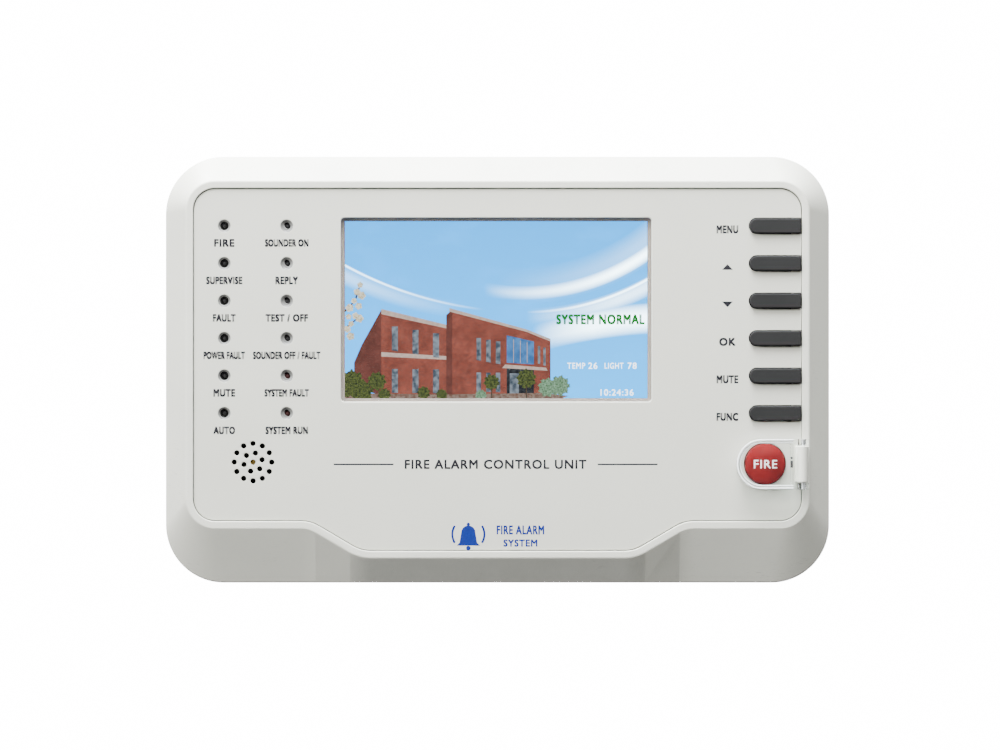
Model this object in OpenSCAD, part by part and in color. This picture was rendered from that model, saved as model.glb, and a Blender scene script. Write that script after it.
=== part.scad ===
// Wall-mounted fire alarm control panel: a hinged front door with a colour screen, indicators, keys,
// a sounder and a guarded alarm button, closing on a rear housing with boards, power supply and battery.
// The wall is the plane y = 0, the front faces -Y and +Z is up.

/* [Front cover] */
// Width of the front cover
cover_w = 320; // [318:0.5:324]
// Height of the front cover
cover_h = 205.5; // [204:0.5:208]
// Corner radius of the front cover
cover_r = 28; // [24:1:30]
// Distance from the wall to the front plane
total_d = 80; // [80:0.5:84]
// Depth of the sloped border
border_d = 12; // [10:0.5:13]
// Width of the flat lip around the face panel
lip_w = 3.4; // [3:0.1:3.8]
// Distance from the wall to the back of the cover
cover_back_d = 44; // [44:0.25:45]
// Wall thickness of the cover
cover_wall = 3; // [2.5:0.25:3]

/* [Face panel] */
// Width of the face panel opening
panel_w = 292.4; // [291:0.2:293]
// Height of the opening's top edge above the centre
panel_top = 87.2; // [86.5:0.1:87.5]
// Depth of the opening's side stretches below the centre
panel_low = 72.7; // [72:0.1:73.5]
// Extra depth of the opening in the middle
panel_dip = 14.3; // [13:0.1:14.5]
// Half width of the deep middle stretch
dip_inner_x = 60.7; // [58:0.5:62]
// Half width where the dip starts
dip_outer_x = 94.5; // [94:0.5:96]
// Radius of the dip's curves
dip_r = 17.5; // [17:0.1:18]
// Corner radius of the opening
panel_r = 10.6; // [9:0.2:11]
// Thickness of the face panel
panel_t = 3; // [3:0.1:3.2]

/* [Screen] */
// Width of the screen window
window_w = 149.2; // [148:0.2:150]
// Height of the screen window
window_h = 88.3; // [87:0.1:89]
// Sideways offset of the window's centre
window_x = -0.6; // [-1:0.1:1]
// Height of the window's centre
window_z = 28.85; // [28:0.05:29.5]

/* [Indicators] */
// Sideways position of the first indicator column
led_x = -131.2; // [-132:0.1:-130]
// Distance between the two columns
led_column_pitch = 30; // [29:0.5:31]
// Height of the top row of indicators and keys
row_top_z = 69.1; // [68:0.1:70]
// Distance between the rows
row_pitch = 18; // [17.5:0.1:18]

/* [Keys] */
// Left end of the keys
key_x = 121; // [120:0.5:122]
// Height of a key
key_h = 7; // [6:0.5:7]
// How far a key stands out of the panel
key_proud = 2; // [1.5:0.1:2]
// Travel of a key
key_travel = 1.2; // [0.8:0.1:1.2]

/* [Alarm button] */
// Sideways position of the alarm button
button_x = 128.4; // [128:0.1:129]
// Height of the alarm button
button_z = -45.2; // [-46:0.1:-44.5]
// Diameter of the alarm button
button_d = 19.4; // [18:0.1:19.6]

/* [Sounder] */
// Sideways position of the sounder grille
sounder_x = -117.4; // [-118:0.1:-117]
// Height of the sounder grille
sounder_z = -44.4; // [-45:0.1:-44]
// Diameter of the grille holes
grille_hole_d = 2.6; // [2.2:0.1:2.8]

/* [Rear housing] */
// How far the housing's outside stands in from the cover's
housing_inset = 8; // [8:0.1:8.4]
// Wall thickness of the housing
housing_wall = 2.5; // [2.5:0.1:3]
// Gap between the housing's rim and the cover
rim_gap = 0.5; // [0.5:0.1:0.8]

/* [Wall fixing] */
// Distance between the wall screws across the width
fixing_w = 280; // [279:0.5:281]
// Distance between the wall screws over the height
fixing_h = 164; // [163:0.5:165]
// Diameter of the wall screw holes
fixing_hole_d = 5; // [4.5:0.1:5.5]
// Width of the cable entry in the back wall
entry_w = 120; // [100:5:130]
// Height of the cable entry
entry_h = 18; // [14:1:18]

/* [Hidden] */
$fn = 48;

// Rows of indicators and keys
rows = 6;
function row_z(i) = row_top_z - i * row_pitch;

// Levels along Y, from the front plane back to the wall
front_y = -total_d;
shoulder_y = front_y + border_d;
panel_y = front_y + 0.8;
panel_back_y = panel_y + panel_t;
ledge_w = 4;
ledge_back_y = panel_back_y + 2.2;
board_t = 1.6;
side_board_y = panel_back_y + 8.2;
display_board_y = panel_back_y + 10.2;
cover_back_y = -cover_back_d;
flange_t = 2.5;
flange_w = 10;
rim_y = cover_back_y + rim_gap;
floor_y = -housing_wall;
main_board_y = -14;

housing_w = cover_w - 2 * housing_inset;
housing_h = cover_h - 2 * housing_inset;
housing_r = cover_r - housing_inset + 2;

// A box between two corners, given as ranges along X, Y and Z
module block(x, y, z) {
    translate([x[0], y[0], z[0]])
        cube([x[1] - x[0], y[1] - y[0], z[1] - z[0]]);
}

// A flat shape, drawn as seen from the front, standing between two levels along Y
module plate(y) {
    translate([0, y[1], 0])
        rotate([90, 0, 0])
            linear_extrude(y[1] - y[0])
                children();
}

module rod_x(y, z, r, x) {
    translate([x[0], y, z])
        rotate([0, 90, 0])
            cylinder(r = r, h = x[1] - x[0]);
}

module rod_y(x, z, r, y) {
    translate([x, y[0], z])
        rotate([-90, 0, 0])
            cylinder(r = r, h = y[1] - y[0]);
}

module rod_z(x, y, r, z) {
    translate([x, y, z[0]])
        cylinder(r = r, h = z[1] - z[0]);
}

module rounded_rect(w, h, r) {
    union() {
        square([w - 2 * r, h], center = true);
        square([w, h - 2 * r], center = true);
        for (sx = [-1, 1], sz = [-1, 1])
            translate([sx * (w / 2 - r), sz * (h / 2 - r)])
                circle(r);
    }
}

// Places something at the four corners of a rectangle around a centre
module at_corners(x, z, w, h) {
    for (sx = [-1, 1], sz = [-1, 1])
        translate([x + sx * w / 2, 0, z + sz * h / 2])
            children();
}

// ---- Outlines of the front cover, as lists of points that run clockwise as seen from the front ----

corner_steps = 10;
dip_steps = 5;

function arc(centre, r, from, to, steps) =
    [for (i = [0 : steps])
        let (a = from + (to - from) * i / steps)
        centre + r * [cos(a), sin(a)]];

// Angle of the slope between the dip's curves: the inner tangent of two circles of the same radius
function inner_tangent(run, gap, both) = atan2(run, gap) - acos(both / sqrt(run * run + gap * gap));
slope_a = inner_tangent(dip_outer_x - dip_inner_x, 2 * dip_r - panel_dip, 2 * dip_r);

// The dip on one side, at a distance d outside the opening
function dip_curves(d, side) =
    let (outer = [side * dip_outer_x, -panel_low - dip_r],
         inner = [side * dip_inner_x, -panel_low - panel_dip + dip_r],
         upper = arc(outer, dip_r - d, 90, 90 + side * slope_a, dip_steps),
         lower = arc(inner, dip_r + d, -90 + side * slope_a, -90, dip_steps))
    side > 0
        ? concat(upper, lower)
        : concat([for (i = [dip_steps : -1 : 0]) lower[i]], [for (i = [dip_steps : -1 : 0]) upper[i]]);

// The opening's outline, moved outwards by d
function opening_ring(d) =
    let (x = panel_w / 2 - panel_r,
         top = panel_top - panel_r,
         low = -panel_low + panel_r,
         r = panel_r + d)
    concat(
        arc([x, top], r, 90, 0, corner_steps),
        arc([x, low], r, 0, -90, corner_steps),
        dip_curves(d, 1),
        dip_curves(d, -1),
        arc([-x, low], r, -90, -180, corner_steps),
        arc([-x, top], r, 180, 90, corner_steps));

// The cover's outer outline, moved inwards by t, with as many points as opening_ring
function outer_ring(t) =
    let (x = cover_w / 2 - cover_r,
         z = cover_h / 2 - cover_r,
         r = cover_r - t,
         bottom = -cover_h / 2 + t)
    concat(
        arc([x, z], r, 90, 0, corner_steps),
        arc([x, -z], r, 0, -90, corner_steps),
        [for (p = dip_curves(lip_w, 1)) [p[0], bottom]],
        [for (p = dip_curves(lip_w, -1)) [p[0], bottom]],
        arc([-x, -z], r, -90, -180, corner_steps),
        arc([-x, z], r, 180, 90, corner_steps));

function at_level(ring, y) = [for (p = ring) [p[0], y, p[1]]];

// A closed skin over a list of rings, each with the same number of points; the last joins the first
module ring_shell(rings) {
    count = len(rings[0]);
    levels = len(rings);
    polyhedron(
        points = [for (ring = rings) for (p = ring) p],
        faces = [for (k = [0 : levels - 1], i = [0 : count - 1])
            let (a = k * count + i,
                 b = k * count + (i + 1) % count,
                 c = (k + 1) % levels * count + i,
                 d = (k + 1) % levels * count + (i + 1) % count)
            each [[a, b, d], [a, d, c]]]);
}

// ---- Door: cover, face panel and what they carry ----

// The sloped border, its side walls and the flange that faces the housing's rim
module front_cover() {
    color("whitesmoke")
        ring_shell([
            at_level(opening_ring(0), front_y),
            at_level(opening_ring(lip_w), front_y),
            at_level(outer_ring(0), shoulder_y),
            at_level(outer_ring(0), cover_back_y),
            at_level(outer_ring(flange_w), cover_back_y),
            at_level(outer_ring(flange_w), cover_back_y - flange_t),
            at_level(outer_ring(cover_wall), cover_back_y - flange_t),
            at_level(outer_ring(cover_wall), shoulder_y + 2),
            at_level(opening_ring(lip_w - 1), ledge_back_y - 0.5),
            at_level(opening_ring(-ledge_w), ledge_back_y),
            at_level(opening_ring(-ledge_w), panel_back_y),
            at_level(opening_ring(0), panel_back_y)]);
}

panel_gap = 0.25;
led_hole_d = 4.2;
led_sink_d = 6.2;
led_sink_depth = 1;
key_gap = 0.35;
key_r = key_h / 2;
key_end_x = panel_w / 2 - 0.5;
button_gap = 0.4;
window_r = 1.7;

function led_at(column, i) = [led_x + column * led_column_pitch, row_z(i)];

// Hole with a countersink, for one indicator
module led_hole(at) {
    rod_y(at[0], at[1], led_hole_d / 2, [panel_y - 1, panel_back_y + 1]);
    translate([at[0], panel_y - 0.01, at[1]])
        rotate([-90, 0, 0])
            cylinder(d1 = led_sink_d, d2 = led_hole_d, h = led_sink_depth);
}

// Outline of a key, rounded at its left end and square at the panel's edge
module key_outline(grow, end_x) {
    translate([key_x + key_r, 0])
        circle(key_r + grow);
    translate([key_x + key_r, -key_r - grow])
        square([end_x - key_x - key_r, key_h + 2 * grow]);
}

grille_r = 9;

module grille_hole(r, angle) {
    rod_y(sounder_x + r * cos(angle), sounder_z + r * sin(angle), grille_hole_d / 2,
        [panel_y - 1, panel_back_y + 1]);
}

module face_panel() {
    color("gainsboro")
        difference() {
            plate([panel_y, panel_back_y])
                polygon(opening_ring(-panel_gap));
            translate([window_x, 0, window_z])
                plate([panel_y - 1, panel_back_y + 1])
                    rounded_rect(window_w, window_h, window_r);
            for (column = [0, 1], i = [0 : rows - 1])
                led_hole(led_at(column, i));
            for (i = [0 : rows - 1])
                translate([0, 0, row_z(i)])
                    plate([panel_y - 1, panel_back_y + 1])
                        key_outline(key_gap, panel_w / 2 + 1);
            for (i = [0 : 11])
                grille_hole(grille_r, 30 * i);
            for (i = [0 : 5])
                grille_hole(grille_r / 2, 15 + 60 * i);
            grille_hole(0, 0);
            rod_y(button_x, button_z, button_d / 2 + button_gap, [panel_y - 1, panel_back_y + 1]);
        }
}

window_t = 2;
window_y = panel_y + 0.5;

module screen_window() {
    color("lightcyan", 0.4)
        translate([window_x, 0, window_z])
            plate([window_y, window_y + window_t])
                rounded_rect(window_w - 0.1, window_h - 0.1, window_r);
}

frame_w = 160;
frame_h = 100;
frame_t = 5.7;
frame_wall = 0.8;
glass_w = 155;
glass_h = 92;
glass_t = 1.2;
glass_y = panel_back_y + frame_wall;
backlight_t = 3;

module screen_frame() {
    color("silver")
        translate([window_x, 0, window_z])
            difference() {
                plate([panel_back_y, panel_back_y + frame_t])
                    square([frame_w, frame_h], center = true);
                plate([panel_back_y + frame_wall, panel_back_y + frame_t + 1])
                    square([frame_w - 2 * frame_wall, frame_h - 2 * frame_wall], center = true);
                plate([panel_back_y - 1, panel_back_y + frame_t])
                    square([glass_w - 4, glass_h - 3], center = true);
            }
}

module screen_glass() {
    color("skyblue")
        translate([window_x, 0, window_z])
            plate([glass_y, glass_y + glass_t])
                square([glass_w, glass_h], center = true);
}

module backlight() {
    color("white")
        translate([window_x, 0, window_z])
            plate([glass_y + glass_t, glass_y + glass_t + backlight_t])
                square([glass_w + 2, glass_h + 4], center = true);
}

screw_r = 1.5;
standoff_r = 3;

// A board as a plate with screw holes near its four corners
module board(x, z, y, hole_inset) {
    difference() {
        block(x, [y, y + board_t], z);
        at_corners((x[0] + x[1]) / 2, (z[0] + z[1]) / 2, x[1] - x[0] - 2 * hole_inset,
            z[1] - z[0] - 2 * hole_inset)
            rod_y(0, 0, screw_r + 0.1, [y - 1, y + board_t + 1]);
    }
}

hole_inset = 4;
display_x = [window_x - 87.7, window_x + 87.7];
display_z = [window_z - 50, window_z + 50];
indicator_x = [-142, -89];
indicator_z = [-26, 81];
keypad_x = [111, 141];
keypad_z = [-62, 82];

module display_board() {
    color("darkgreen")
        board(display_x, display_z, display_board_y, hole_inset);
}

module display_chips() {
    back = display_board_y + board_t;
    color("dimgray") {
        block([-22, 0], [back, back + 1.4], [20, 42]);
        block([18, 34], [back, back + 1.2], [36, 48]);
        block([18, 34], [back, back + 1.2], [16, 28]);
        block([-52, -42], [back, back + 1.6], [8, 24]);
        for (i = [0 : 3])
            rod_y(50 + 8 * i, 60, 3, [back, back + 6]);
    }
    color("wheat")
        block([-60, -30], [back, back + 5], [-20, -14]);
}

module indicator_board() {
    color("darkgreen")
        board(indicator_x, indicator_z, side_board_y, hole_inset);
}

led_r = 1.5;
led_rim_r = 1.9;
led_tip_y = panel_y + 1.5;
spacer_r = 2.8;

// A round-ended indicator standing on its board
module led(at) {
    rod_y(at[0], at[1], led_r, [led_tip_y + led_r, side_board_y]);
    translate([at[0], led_tip_y + led_r, at[1]])
        sphere(led_r);
    rod_y(at[0], at[1], led_rim_r, [side_board_y - 1, side_board_y]);
}

module indicator_leds() {
    color("dimgray")
        for (column = [0, 1], i = [0 : rows - 1])
            led(led_at(column, i));
}

module led_spacers() {
    color("black")
        for (column = [0, 1], i = [0 : rows - 1])
            difference() {
                rod_y(led_at(column, i)[0], led_at(column, i)[1], spacer_r,
                    [panel_back_y, side_board_y - 1]);
                rod_y(led_at(column, i)[0], led_at(column, i)[1], led_r + 0.1,
                    [panel_back_y - 1, side_board_y]);
            }
}

sounder_r = 16;
sounder_wall = 1.8;
sounder_d = 12;
disc_y = panel_back_y + 2;

module sounder_case() {
    color("black")
        difference() {
            rod_y(sounder_x, sounder_z, sounder_r, [panel_back_y, panel_back_y + sounder_d]);
            rod_y(sounder_x, sounder_z, sounder_r - sounder_wall, [panel_back_y - 1, disc_y + 0.4]);
            rod_y(sounder_x, sounder_z, sounder_r - 3, [panel_back_y, panel_back_y + sounder_d - 2]);
        }
}

// The brass disc that sounds, with a small dome at its centre
module sounder_disc() {
    color("goldenrod") {
        rod_y(sounder_x, sounder_z, sounder_r - sounder_wall, [disc_y, disc_y + 0.4]);
        rod_y(sounder_x, sounder_z, 2.2, [panel_back_y + 0.4, disc_y]);
    }
}

switch_body = 6;
switch_x = 129;
switch_y = side_board_y - 3.5;
plunger_y = switch_y - 1.5;
alarm_body = 17;
alarm_front_y = side_board_y + 0.4;
stem_r = 4;

module keypad_board() {
    color("darkgreen")
        difference() {
            board(keypad_x, keypad_z, side_board_y, hole_inset);
            block([button_x - alarm_body / 2 - 0.2, button_x + alarm_body / 2 + 0.2],
                [side_board_y - 1, side_board_y + board_t + 1],
                [button_z - alarm_body / 2 - 0.2, button_z + alarm_body / 2 + 0.2]);
        }
}

module key_switches() {
    for (i = [0 : rows - 1]) {
        color("silver")
            block([switch_x - switch_body / 2, switch_x + switch_body / 2], [switch_y, side_board_y],
                [row_z(i) - switch_body / 2, row_z(i) + switch_body / 2]);
        color("black")
            rod_y(switch_x, row_z(i), 1.7, [plunger_y, switch_y]);
    }
}

key_front_y = panel_y - key_proud;
key_tail_x = panel_w / 2 - ledge_w - 1;
key_back_y = plunger_y - key_travel - 0.3;

// A key: its cap in the slot, a thinner end over the ledge and a flange behind the panel
module key(i) {
    color("dimgray")
        translate([0, 0, row_z(i)]) {
            plate([key_front_y, panel_back_y - key_travel - 0.4])
                key_outline(0, key_end_x);
            plate([panel_back_y - key_travel - 0.5, panel_back_y + 0.3])
                key_outline(0, key_tail_x);
            block([key_x - 1.5, key_tail_x], [panel_back_y + 0.3, key_back_y],
                [-key_r - 1.5, key_r + 1.5]);
        }
}

module menu_key() { key(0); }
module up_key() { key(1); }
module down_key() { key(2); }
module confirm_key() { key(3); }
module mute_key() { key(4); }
module function_key() { key(5); }

button_r = button_d / 2;
button_edge_y = panel_y - 2.3;
button_top_y = panel_y - 5.8;
button_flange_y = panel_back_y + 0.3;
button_travel = 4;
spring_y = [button_flange_y + 1.5, alarm_front_y];

// Radius of the button's domed face, from its height over its width
dome_h = button_edge_y - button_top_y;
dome_r = (button_r * button_r + dome_h * dome_h) / (2 * dome_h);

module alarm_button() {
    color("red") {
        intersection() {
            rod_y(button_x, button_z, button_r, [button_top_y, button_flange_y]);
            translate([button_x, button_top_y + dome_r, button_z])
                sphere(dome_r);
            block([button_x - 20, button_x + 20], [button_top_y - 1, button_flange_y],
                [button_z - 20, button_z + 20]);
        }
        rod_y(button_x, button_z, button_r + 1.3, [button_flange_y, button_flange_y + 1.5]);
        rod_y(button_x, button_z, stem_r, [button_flange_y + 1.5, alarm_front_y + 4.5]);
    }
}

module alarm_switch() {
    half = alarm_body / 2;
    color("black")
        difference() {
            block([button_x - half, button_x + half], [alarm_front_y, alarm_front_y + 10],
                [button_z - half, button_z + half]);
            rod_y(button_x, button_z, stem_r + 0.3, [alarm_front_y - 1, alarm_front_y + 9]);
        }
}

spring_r = 5.6;
wire_r = 0.35;
spring_turns = 3.5;
spring_steps = 16;

// The return spring as a swept round wire
module alarm_spring() {
    sides = 8;
    last = spring_turns * spring_steps;
    rise = spring_y[1] - spring_y[0] - 2 * wire_r - 0.2;
    color("silver")
        translate([button_x, spring_y[0] + wire_r + 0.1, button_z])
            polyhedron(
                points = [for (i = [0 : last], k = [0 : sides - 1])
                    let (turn = 360 * i / spring_steps,
                         out = spring_r + wire_r * cos(360 * k / sides))
                    [out * cos(turn), rise * i / last + wire_r * sin(360 * k / sides), out * sin(turn)]],
                faces = concat(
                    [[for (k = [0 : sides - 1]) k]],
                    [for (i = [0 : last - 1], k = [0 : sides - 1])
                        let (n = (k + 1) % sides)
                        each [[i * sides + k, (i + 1) * sides + k, (i + 1) * sides + n],
                              [i * sides + k, (i + 1) * sides + n, i * sides + n]]],
                    [[for (k = [sides - 1 : -1 : 0]) last * sides + k]]));
}

// ---- Guard over the alarm button ----

guard_r = 12;
guard_centre_x = 126.5;
guard_end_x = 141.6;
guard_wall = 1.2;
guard_back_y = front_y - 0.25;
guard_front_y = button_top_y - 2.8;
pivot_x = 146.4;
pivot_y = front_y - 3.6;
pivot_r = 1;
knuckle_r = 2.9;
knuckle_w = 3;

module guard_outline(inset) {
    translate([guard_centre_x, button_z])
        circle(guard_r - inset);
    translate([guard_centre_x, button_z - guard_r + inset])
        square([guard_end_x - guard_centre_x - inset, 2 * guard_r - 2 * inset]);
}

// The clear flap: a hollow shell with a knuckle at its top and bottom right
module guard_cover() {
    color("white", 0.4)
        difference() {
            union() {
                difference() {
                    plate([guard_front_y, guard_back_y])
                        guard_outline(0);
                    plate([guard_front_y + guard_wall, guard_back_y + 1])
                        guard_outline(guard_wall);
                }
                for (side = [-1, 1])
                    guard_knuckle(side);
            }
            rod_z(pivot_x, pivot_y, pivot_r + 0.05, [button_z - 20, button_z + 20]);
        }
}

// Range along Z of a knuckle, ending flush with the flap's edge
function knuckle_z(side) =
    let (outer = button_z + side * guard_r, inner = outer - side * knuckle_w)
    [min(outer, inner), max(outer, inner)];

module guard_knuckle(side) {
    z = knuckle_z(side);
    rod_z(pivot_x, pivot_y, knuckle_r, z);
    block([guard_end_x - 0.5, pivot_x], [pivot_y - knuckle_r, pivot_y + 1.5], z);
}

block_half = guard_r - knuckle_w - 0.3;
block_x = [142.6, 149];
block_z = [button_z - block_half, button_z + block_half];
block_r = 2.6;

module guard_block() {
    color("whitesmoke")
        difference() {
            union() {
                block(block_x, [front_y - 2, front_y], block_z);
                block([block_x[0], panel_w / 2 - 0.6], [front_y - 1, panel_y], block_z);
                block([pivot_x - block_r, pivot_x + block_r], [pivot_y, front_y - 1], block_z);
                rod_z(pivot_x, pivot_y, block_r, block_z);
            }
            rod_z(pivot_x, pivot_y, pivot_r, [button_z - 20, button_z + 20]);
        }
}

module guard_pin() {
    color("silver")
        rod_z(pivot_x, pivot_y, pivot_r, [button_z - guard_r + 0.3, button_z + guard_r - 0.3]);
}

// ---- Fasteners and fittings inside the door ----

// A hollow six-sided spacer between two levels
module standoff(y) {
    difference() {
        translate([0, y[0], 0])
            rotate([-90, 0, 0])
                cylinder(r = standoff_r, h = y[1] - y[0], $fn = 6);
        rod_y(0, 0, screw_r, [y[0] - 1, y[1] + 1]);
    }
}

// A pan-head screw whose head stands on the level y and whose shank runs towards -Y
module screw_forward(y, length) {
    rod_y(0, 0, screw_r, [y - length, y]);
    rod_y(0, 0, screw_r * 1.9, [y, y + 1.6]);
}

// The same screw the other way round: its head in front of the level y, its shank running towards the wall
module screw_back(y, length) {
    rod_y(0, 0, screw_r, [y, y + length]);
    rod_y(0, 0, screw_r * 1.9, [y - 1.6, y]);
}

// Places something at the screw holes of a board
module at_board_holes(x, z) {
    at_corners((x[0] + x[1]) / 2, (z[0] + z[1]) / 2, x[1] - x[0] - 2 * hole_inset,
        z[1] - z[0] - 2 * hole_inset)
        children();
}

module door_standoffs() {
    color("goldenrod") {
        at_board_holes(display_x, display_z)
            standoff([panel_back_y, display_board_y]);
        at_board_holes(indicator_x, indicator_z)
            standoff([panel_back_y, side_board_y]);
        at_board_holes(keypad_x, keypad_z)
            standoff([panel_back_y, side_board_y]);
    }
}

module door_screws() {
    length = board_t + 5;
    color("silver") {
        at_board_holes(display_x, display_z)
            screw_forward(display_board_y + board_t, length);
        at_board_holes(indicator_x, indicator_z)
            screw_forward(side_board_y + board_t, length);
        at_board_holes(keypad_x, keypad_z)
            screw_forward(side_board_y + board_t, length);
        at_strike_screws()
            screw_back(strike_front_y, strike_t);
    }
}

header_x = -120;
header_z = [8, 40];
header_h = 8;

module door_header() {
    back = side_board_y + board_t;
    color("wheat")
        block([header_x - 4, header_x + 4], [back, back + header_h], header_z);
}

// ---- Lock on the housing's right wall, and the strike on the door that it catches ----

lock_y = -26;
lock_z = 0;
cam_x = [136, 138];
cam_l = 15;
strike_x = [132.5, 142];
strike_arm_z = [lock_z + 18.5, lock_z + 21.5];
strike_lip_y = [-21, -18.5];
strike_plate_z = [strike_arm_z[0] - 9, strike_arm_z[1] + 9];
strike_t = 2;
strike_front_y = cover_back_y - flange_t - strike_t;
strike_screw_x = cover_w / 2 - 6.5;

module door_strike() {
    color("silver")
        difference() {
            union() {
                block([strike_x[0], cover_w / 2 - cover_wall - 0.5],
                    [strike_front_y, strike_front_y + strike_t], strike_plate_z);
                block(strike_x, [strike_front_y, strike_lip_y[1]], strike_arm_z);
                block(strike_x, strike_lip_y, [lock_z + 9.5, strike_arm_z[1]]);
            }
            at_strike_screws()
                rod_y(0, 0, screw_r + 0.1, [strike_front_y - 1, strike_front_y + strike_t + 1]);
        }
}

module at_strike_screws() {
    for (side = [-1, 1])
        translate([strike_screw_x, 0, (strike_arm_z[0] + strike_arm_z[1]) / 2 + side * 7])
            children();
}

// The lock: a barrel through the wall, its nut, and the plug with the cam that the key turns
lock_r = 7.8;
plug_r = 4.4;

module lock_barrel() {
    wall_x = housing_w / 2;
    color("silver")
        difference() {
            union() {
                rod_x(lock_y, lock_z, lock_r, [cam_x[1] + 0.4, wall_x]);
                rod_x(lock_y, lock_z, lock_r + 1.4, [wall_x, wall_x + 2.4]);
            }
            rod_x(lock_y, lock_z, plug_r + 0.08, [cam_x[1], wall_x + 3]);
        }
}

module lock_nut() {
    wall_x = housing_w / 2 - housing_wall;
    color("silver")
        difference() {
            translate([wall_x - 3, lock_y, lock_z])
                rotate([0, 90, 0])
                    cylinder(r = 11, h = 3, $fn = 6);
            rod_x(lock_y, lock_z, lock_r, [wall_x - 4, wall_x + 1]);
        }
}

module lock_plug() {
    end_x = housing_w / 2 + 2.8;
    color("silver")
        difference() {
            rod_x(lock_y, lock_z, plug_r, [cam_x[1], end_x]);
            block([end_x - 6, end_x + 1], [lock_y - 0.6, lock_y + 0.6], [lock_z - 3, lock_z + 3]);
        }
}

module lock_cam() {
    color("silver")
        difference() {
            union() {
                rod_x(lock_y, lock_z, 6, cam_x);
                block(cam_x, [lock_y - cam_l, lock_y], [lock_z - 4, lock_z + 4]);
            }
            rod_x(lock_y, lock_z, 1.6, [cam_x[0] - 1, cam_x[1] + 1]);
        }
}

// ---- Hidden hinges on the left ----

hinge_x = -cover_w / 2 + 4;
hinge_y = cover_back_y + 4.5;
hinge_spacing = 124;
knuckle_half = 7;
leaf_half = 14;
hinge_pin_r = 1.5;
hinge_knuckle_r = 2.9;

module at_hinges() {
    for (side = [-1, 1])
        translate([0, 0, side * hinge_spacing / 2])
            children();
}

// Leaves on the cover's flange, each with two knuckles that turn on the pin
module door_hinges() {
    color("silver")
        at_hinges()
            difference() {
                union() {
                    block([hinge_x - 2.5, hinge_x + 3], [cover_back_y, hinge_y - hinge_knuckle_r - 0.2],
                        [-leaf_half, leaf_half]);
                    for (z = [[-leaf_half, -knuckle_half - 0.3], [knuckle_half + 0.3, leaf_half]]) {
                        rod_z(hinge_x, hinge_y, hinge_knuckle_r, z);
                        block([hinge_x - 1.5, hinge_x + 1.5], [cover_back_y, hinge_y], z);
                    }
                }
                rod_z(hinge_x, hinge_y, hinge_pin_r + 0.05, [-leaf_half - 1, leaf_half + 1]);
            }
}

// Leaves on the housing's left wall, each with the middle knuckle
module housing_hinges() {
    wall_x = -housing_w / 2;
    z = [-knuckle_half, knuckle_half];
    color("silver")
        at_hinges()
            difference() {
                union() {
                    block([wall_x - 1.4, wall_x], [hinge_y - 1.4, hinge_y + 10], z);
                    block([hinge_x, wall_x - 1], [hinge_y - 1.4, hinge_y + 1.6], z);
                    rod_z(hinge_x, hinge_y, hinge_knuckle_r, z);
                }
                rod_z(hinge_x, hinge_y, hinge_pin_r, [-leaf_half, leaf_half]);
            }
}

module hinge_pins() {
    color("silver")
        at_hinges() {
            rod_z(hinge_x, hinge_y, hinge_pin_r, [-leaf_half - 0.5, leaf_half + 0.1]);
            rod_z(hinge_x, hinge_y, hinge_pin_r + 1, [leaf_half + 0.1, leaf_half + 1.1]);
        }
}

// ---- Rear housing and what it carries ----

entry_z = 75;
knockout_r = 10;
knockout_pitch = 70;
vent_x = 60;
vent_pitch = 7;
battery_x = [-132, 46];
battery_z = [-88, -27];
battery_y = [-38, floor_y - 0.5];

module rear_housing() {
    outside = housing_h / 2;
    color("whitesmoke")
        difference() {
            union() {
                difference() {
                    plate([rim_y, 0])
                        rounded_rect(housing_w, housing_h, housing_r);
                    plate([rim_y - 1, floor_y])
                        rounded_rect(housing_w - 2 * housing_wall, housing_h - 2 * housing_wall,
                            housing_r - housing_wall);
                }
                at_corners(0, 0, fixing_w, fixing_h)
                    rod_y(0, 0, 6.5, [floor_y - 2, floor_y]);
                for (x = [battery_x[0] - 2.2, battery_x[1] + 0.4])
                    block([x, x + 1.8], [floor_y - 8, floor_y], [battery_z[0] + 3, battery_z[1] - 3]);
            }
            at_corners(0, 0, fixing_w, fixing_h)
                rod_y(0, 0, fixing_hole_d / 2, [floor_y - 3, 1]);
            block([-entry_w / 2, entry_w / 2], [floor_y - 1, 1],
                [entry_z - entry_h / 2, entry_z + entry_h / 2]);
            for (i = [-1 : 1])
                rod_z(i * knockout_pitch, -22, knockout_r, [outside - 1.2, outside + 1]);
            for (i = [0 : 9])
                block([vent_x + i * vent_pitch, vent_x + i * vent_pitch + 2.4], [-34, -10],
                    [-outside - 1, -outside + housing_wall + 1]);
            rod_x(lock_y, lock_z, lock_r, [housing_w / 2 - housing_wall - 1, housing_w / 2 + 1]);
        }
}

main_x = [-132, 126];
main_z = [-18, 58];
main_front_y = main_board_y - board_t;

module main_board() {
    color("darkgreen")
        board(main_x, main_z, main_front_y, hole_inset);
}

module main_chips() {
    color("dimgray") {
        block([-84, -64], [main_front_y - 1.6, main_front_y], [2, 22]);
        block([-96, -88], [main_front_y - 1.4, main_front_y], [26, 36]);
        block([-56, -46], [main_front_y - 1.4, main_front_y], [-10, -2]);
        for (i = [0 : 3])
            block([-36 + 16 * i, -26 + 16 * i], [main_front_y - 1.8, main_front_y], [-8, -3]);
    }
}

module main_capacitors() {
    color("black") {
        for (i = [0 : 2])
            rod_y(74 + 14 * i, 20, 5, [main_front_y - 13, main_front_y]);
        for (i = [0 : 3])
            rod_y(70 + 11 * i, -2, 3.2, [main_front_y - 8, main_front_y]);
    }
}

relay_count = 5;

module relays() {
    color("royalblue")
        for (i = [0 : relay_count - 1])
            block([-44 + 22 * i, -28.5 + 22 * i], [main_front_y - 15, main_front_y], [14, 33]);
}

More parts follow.
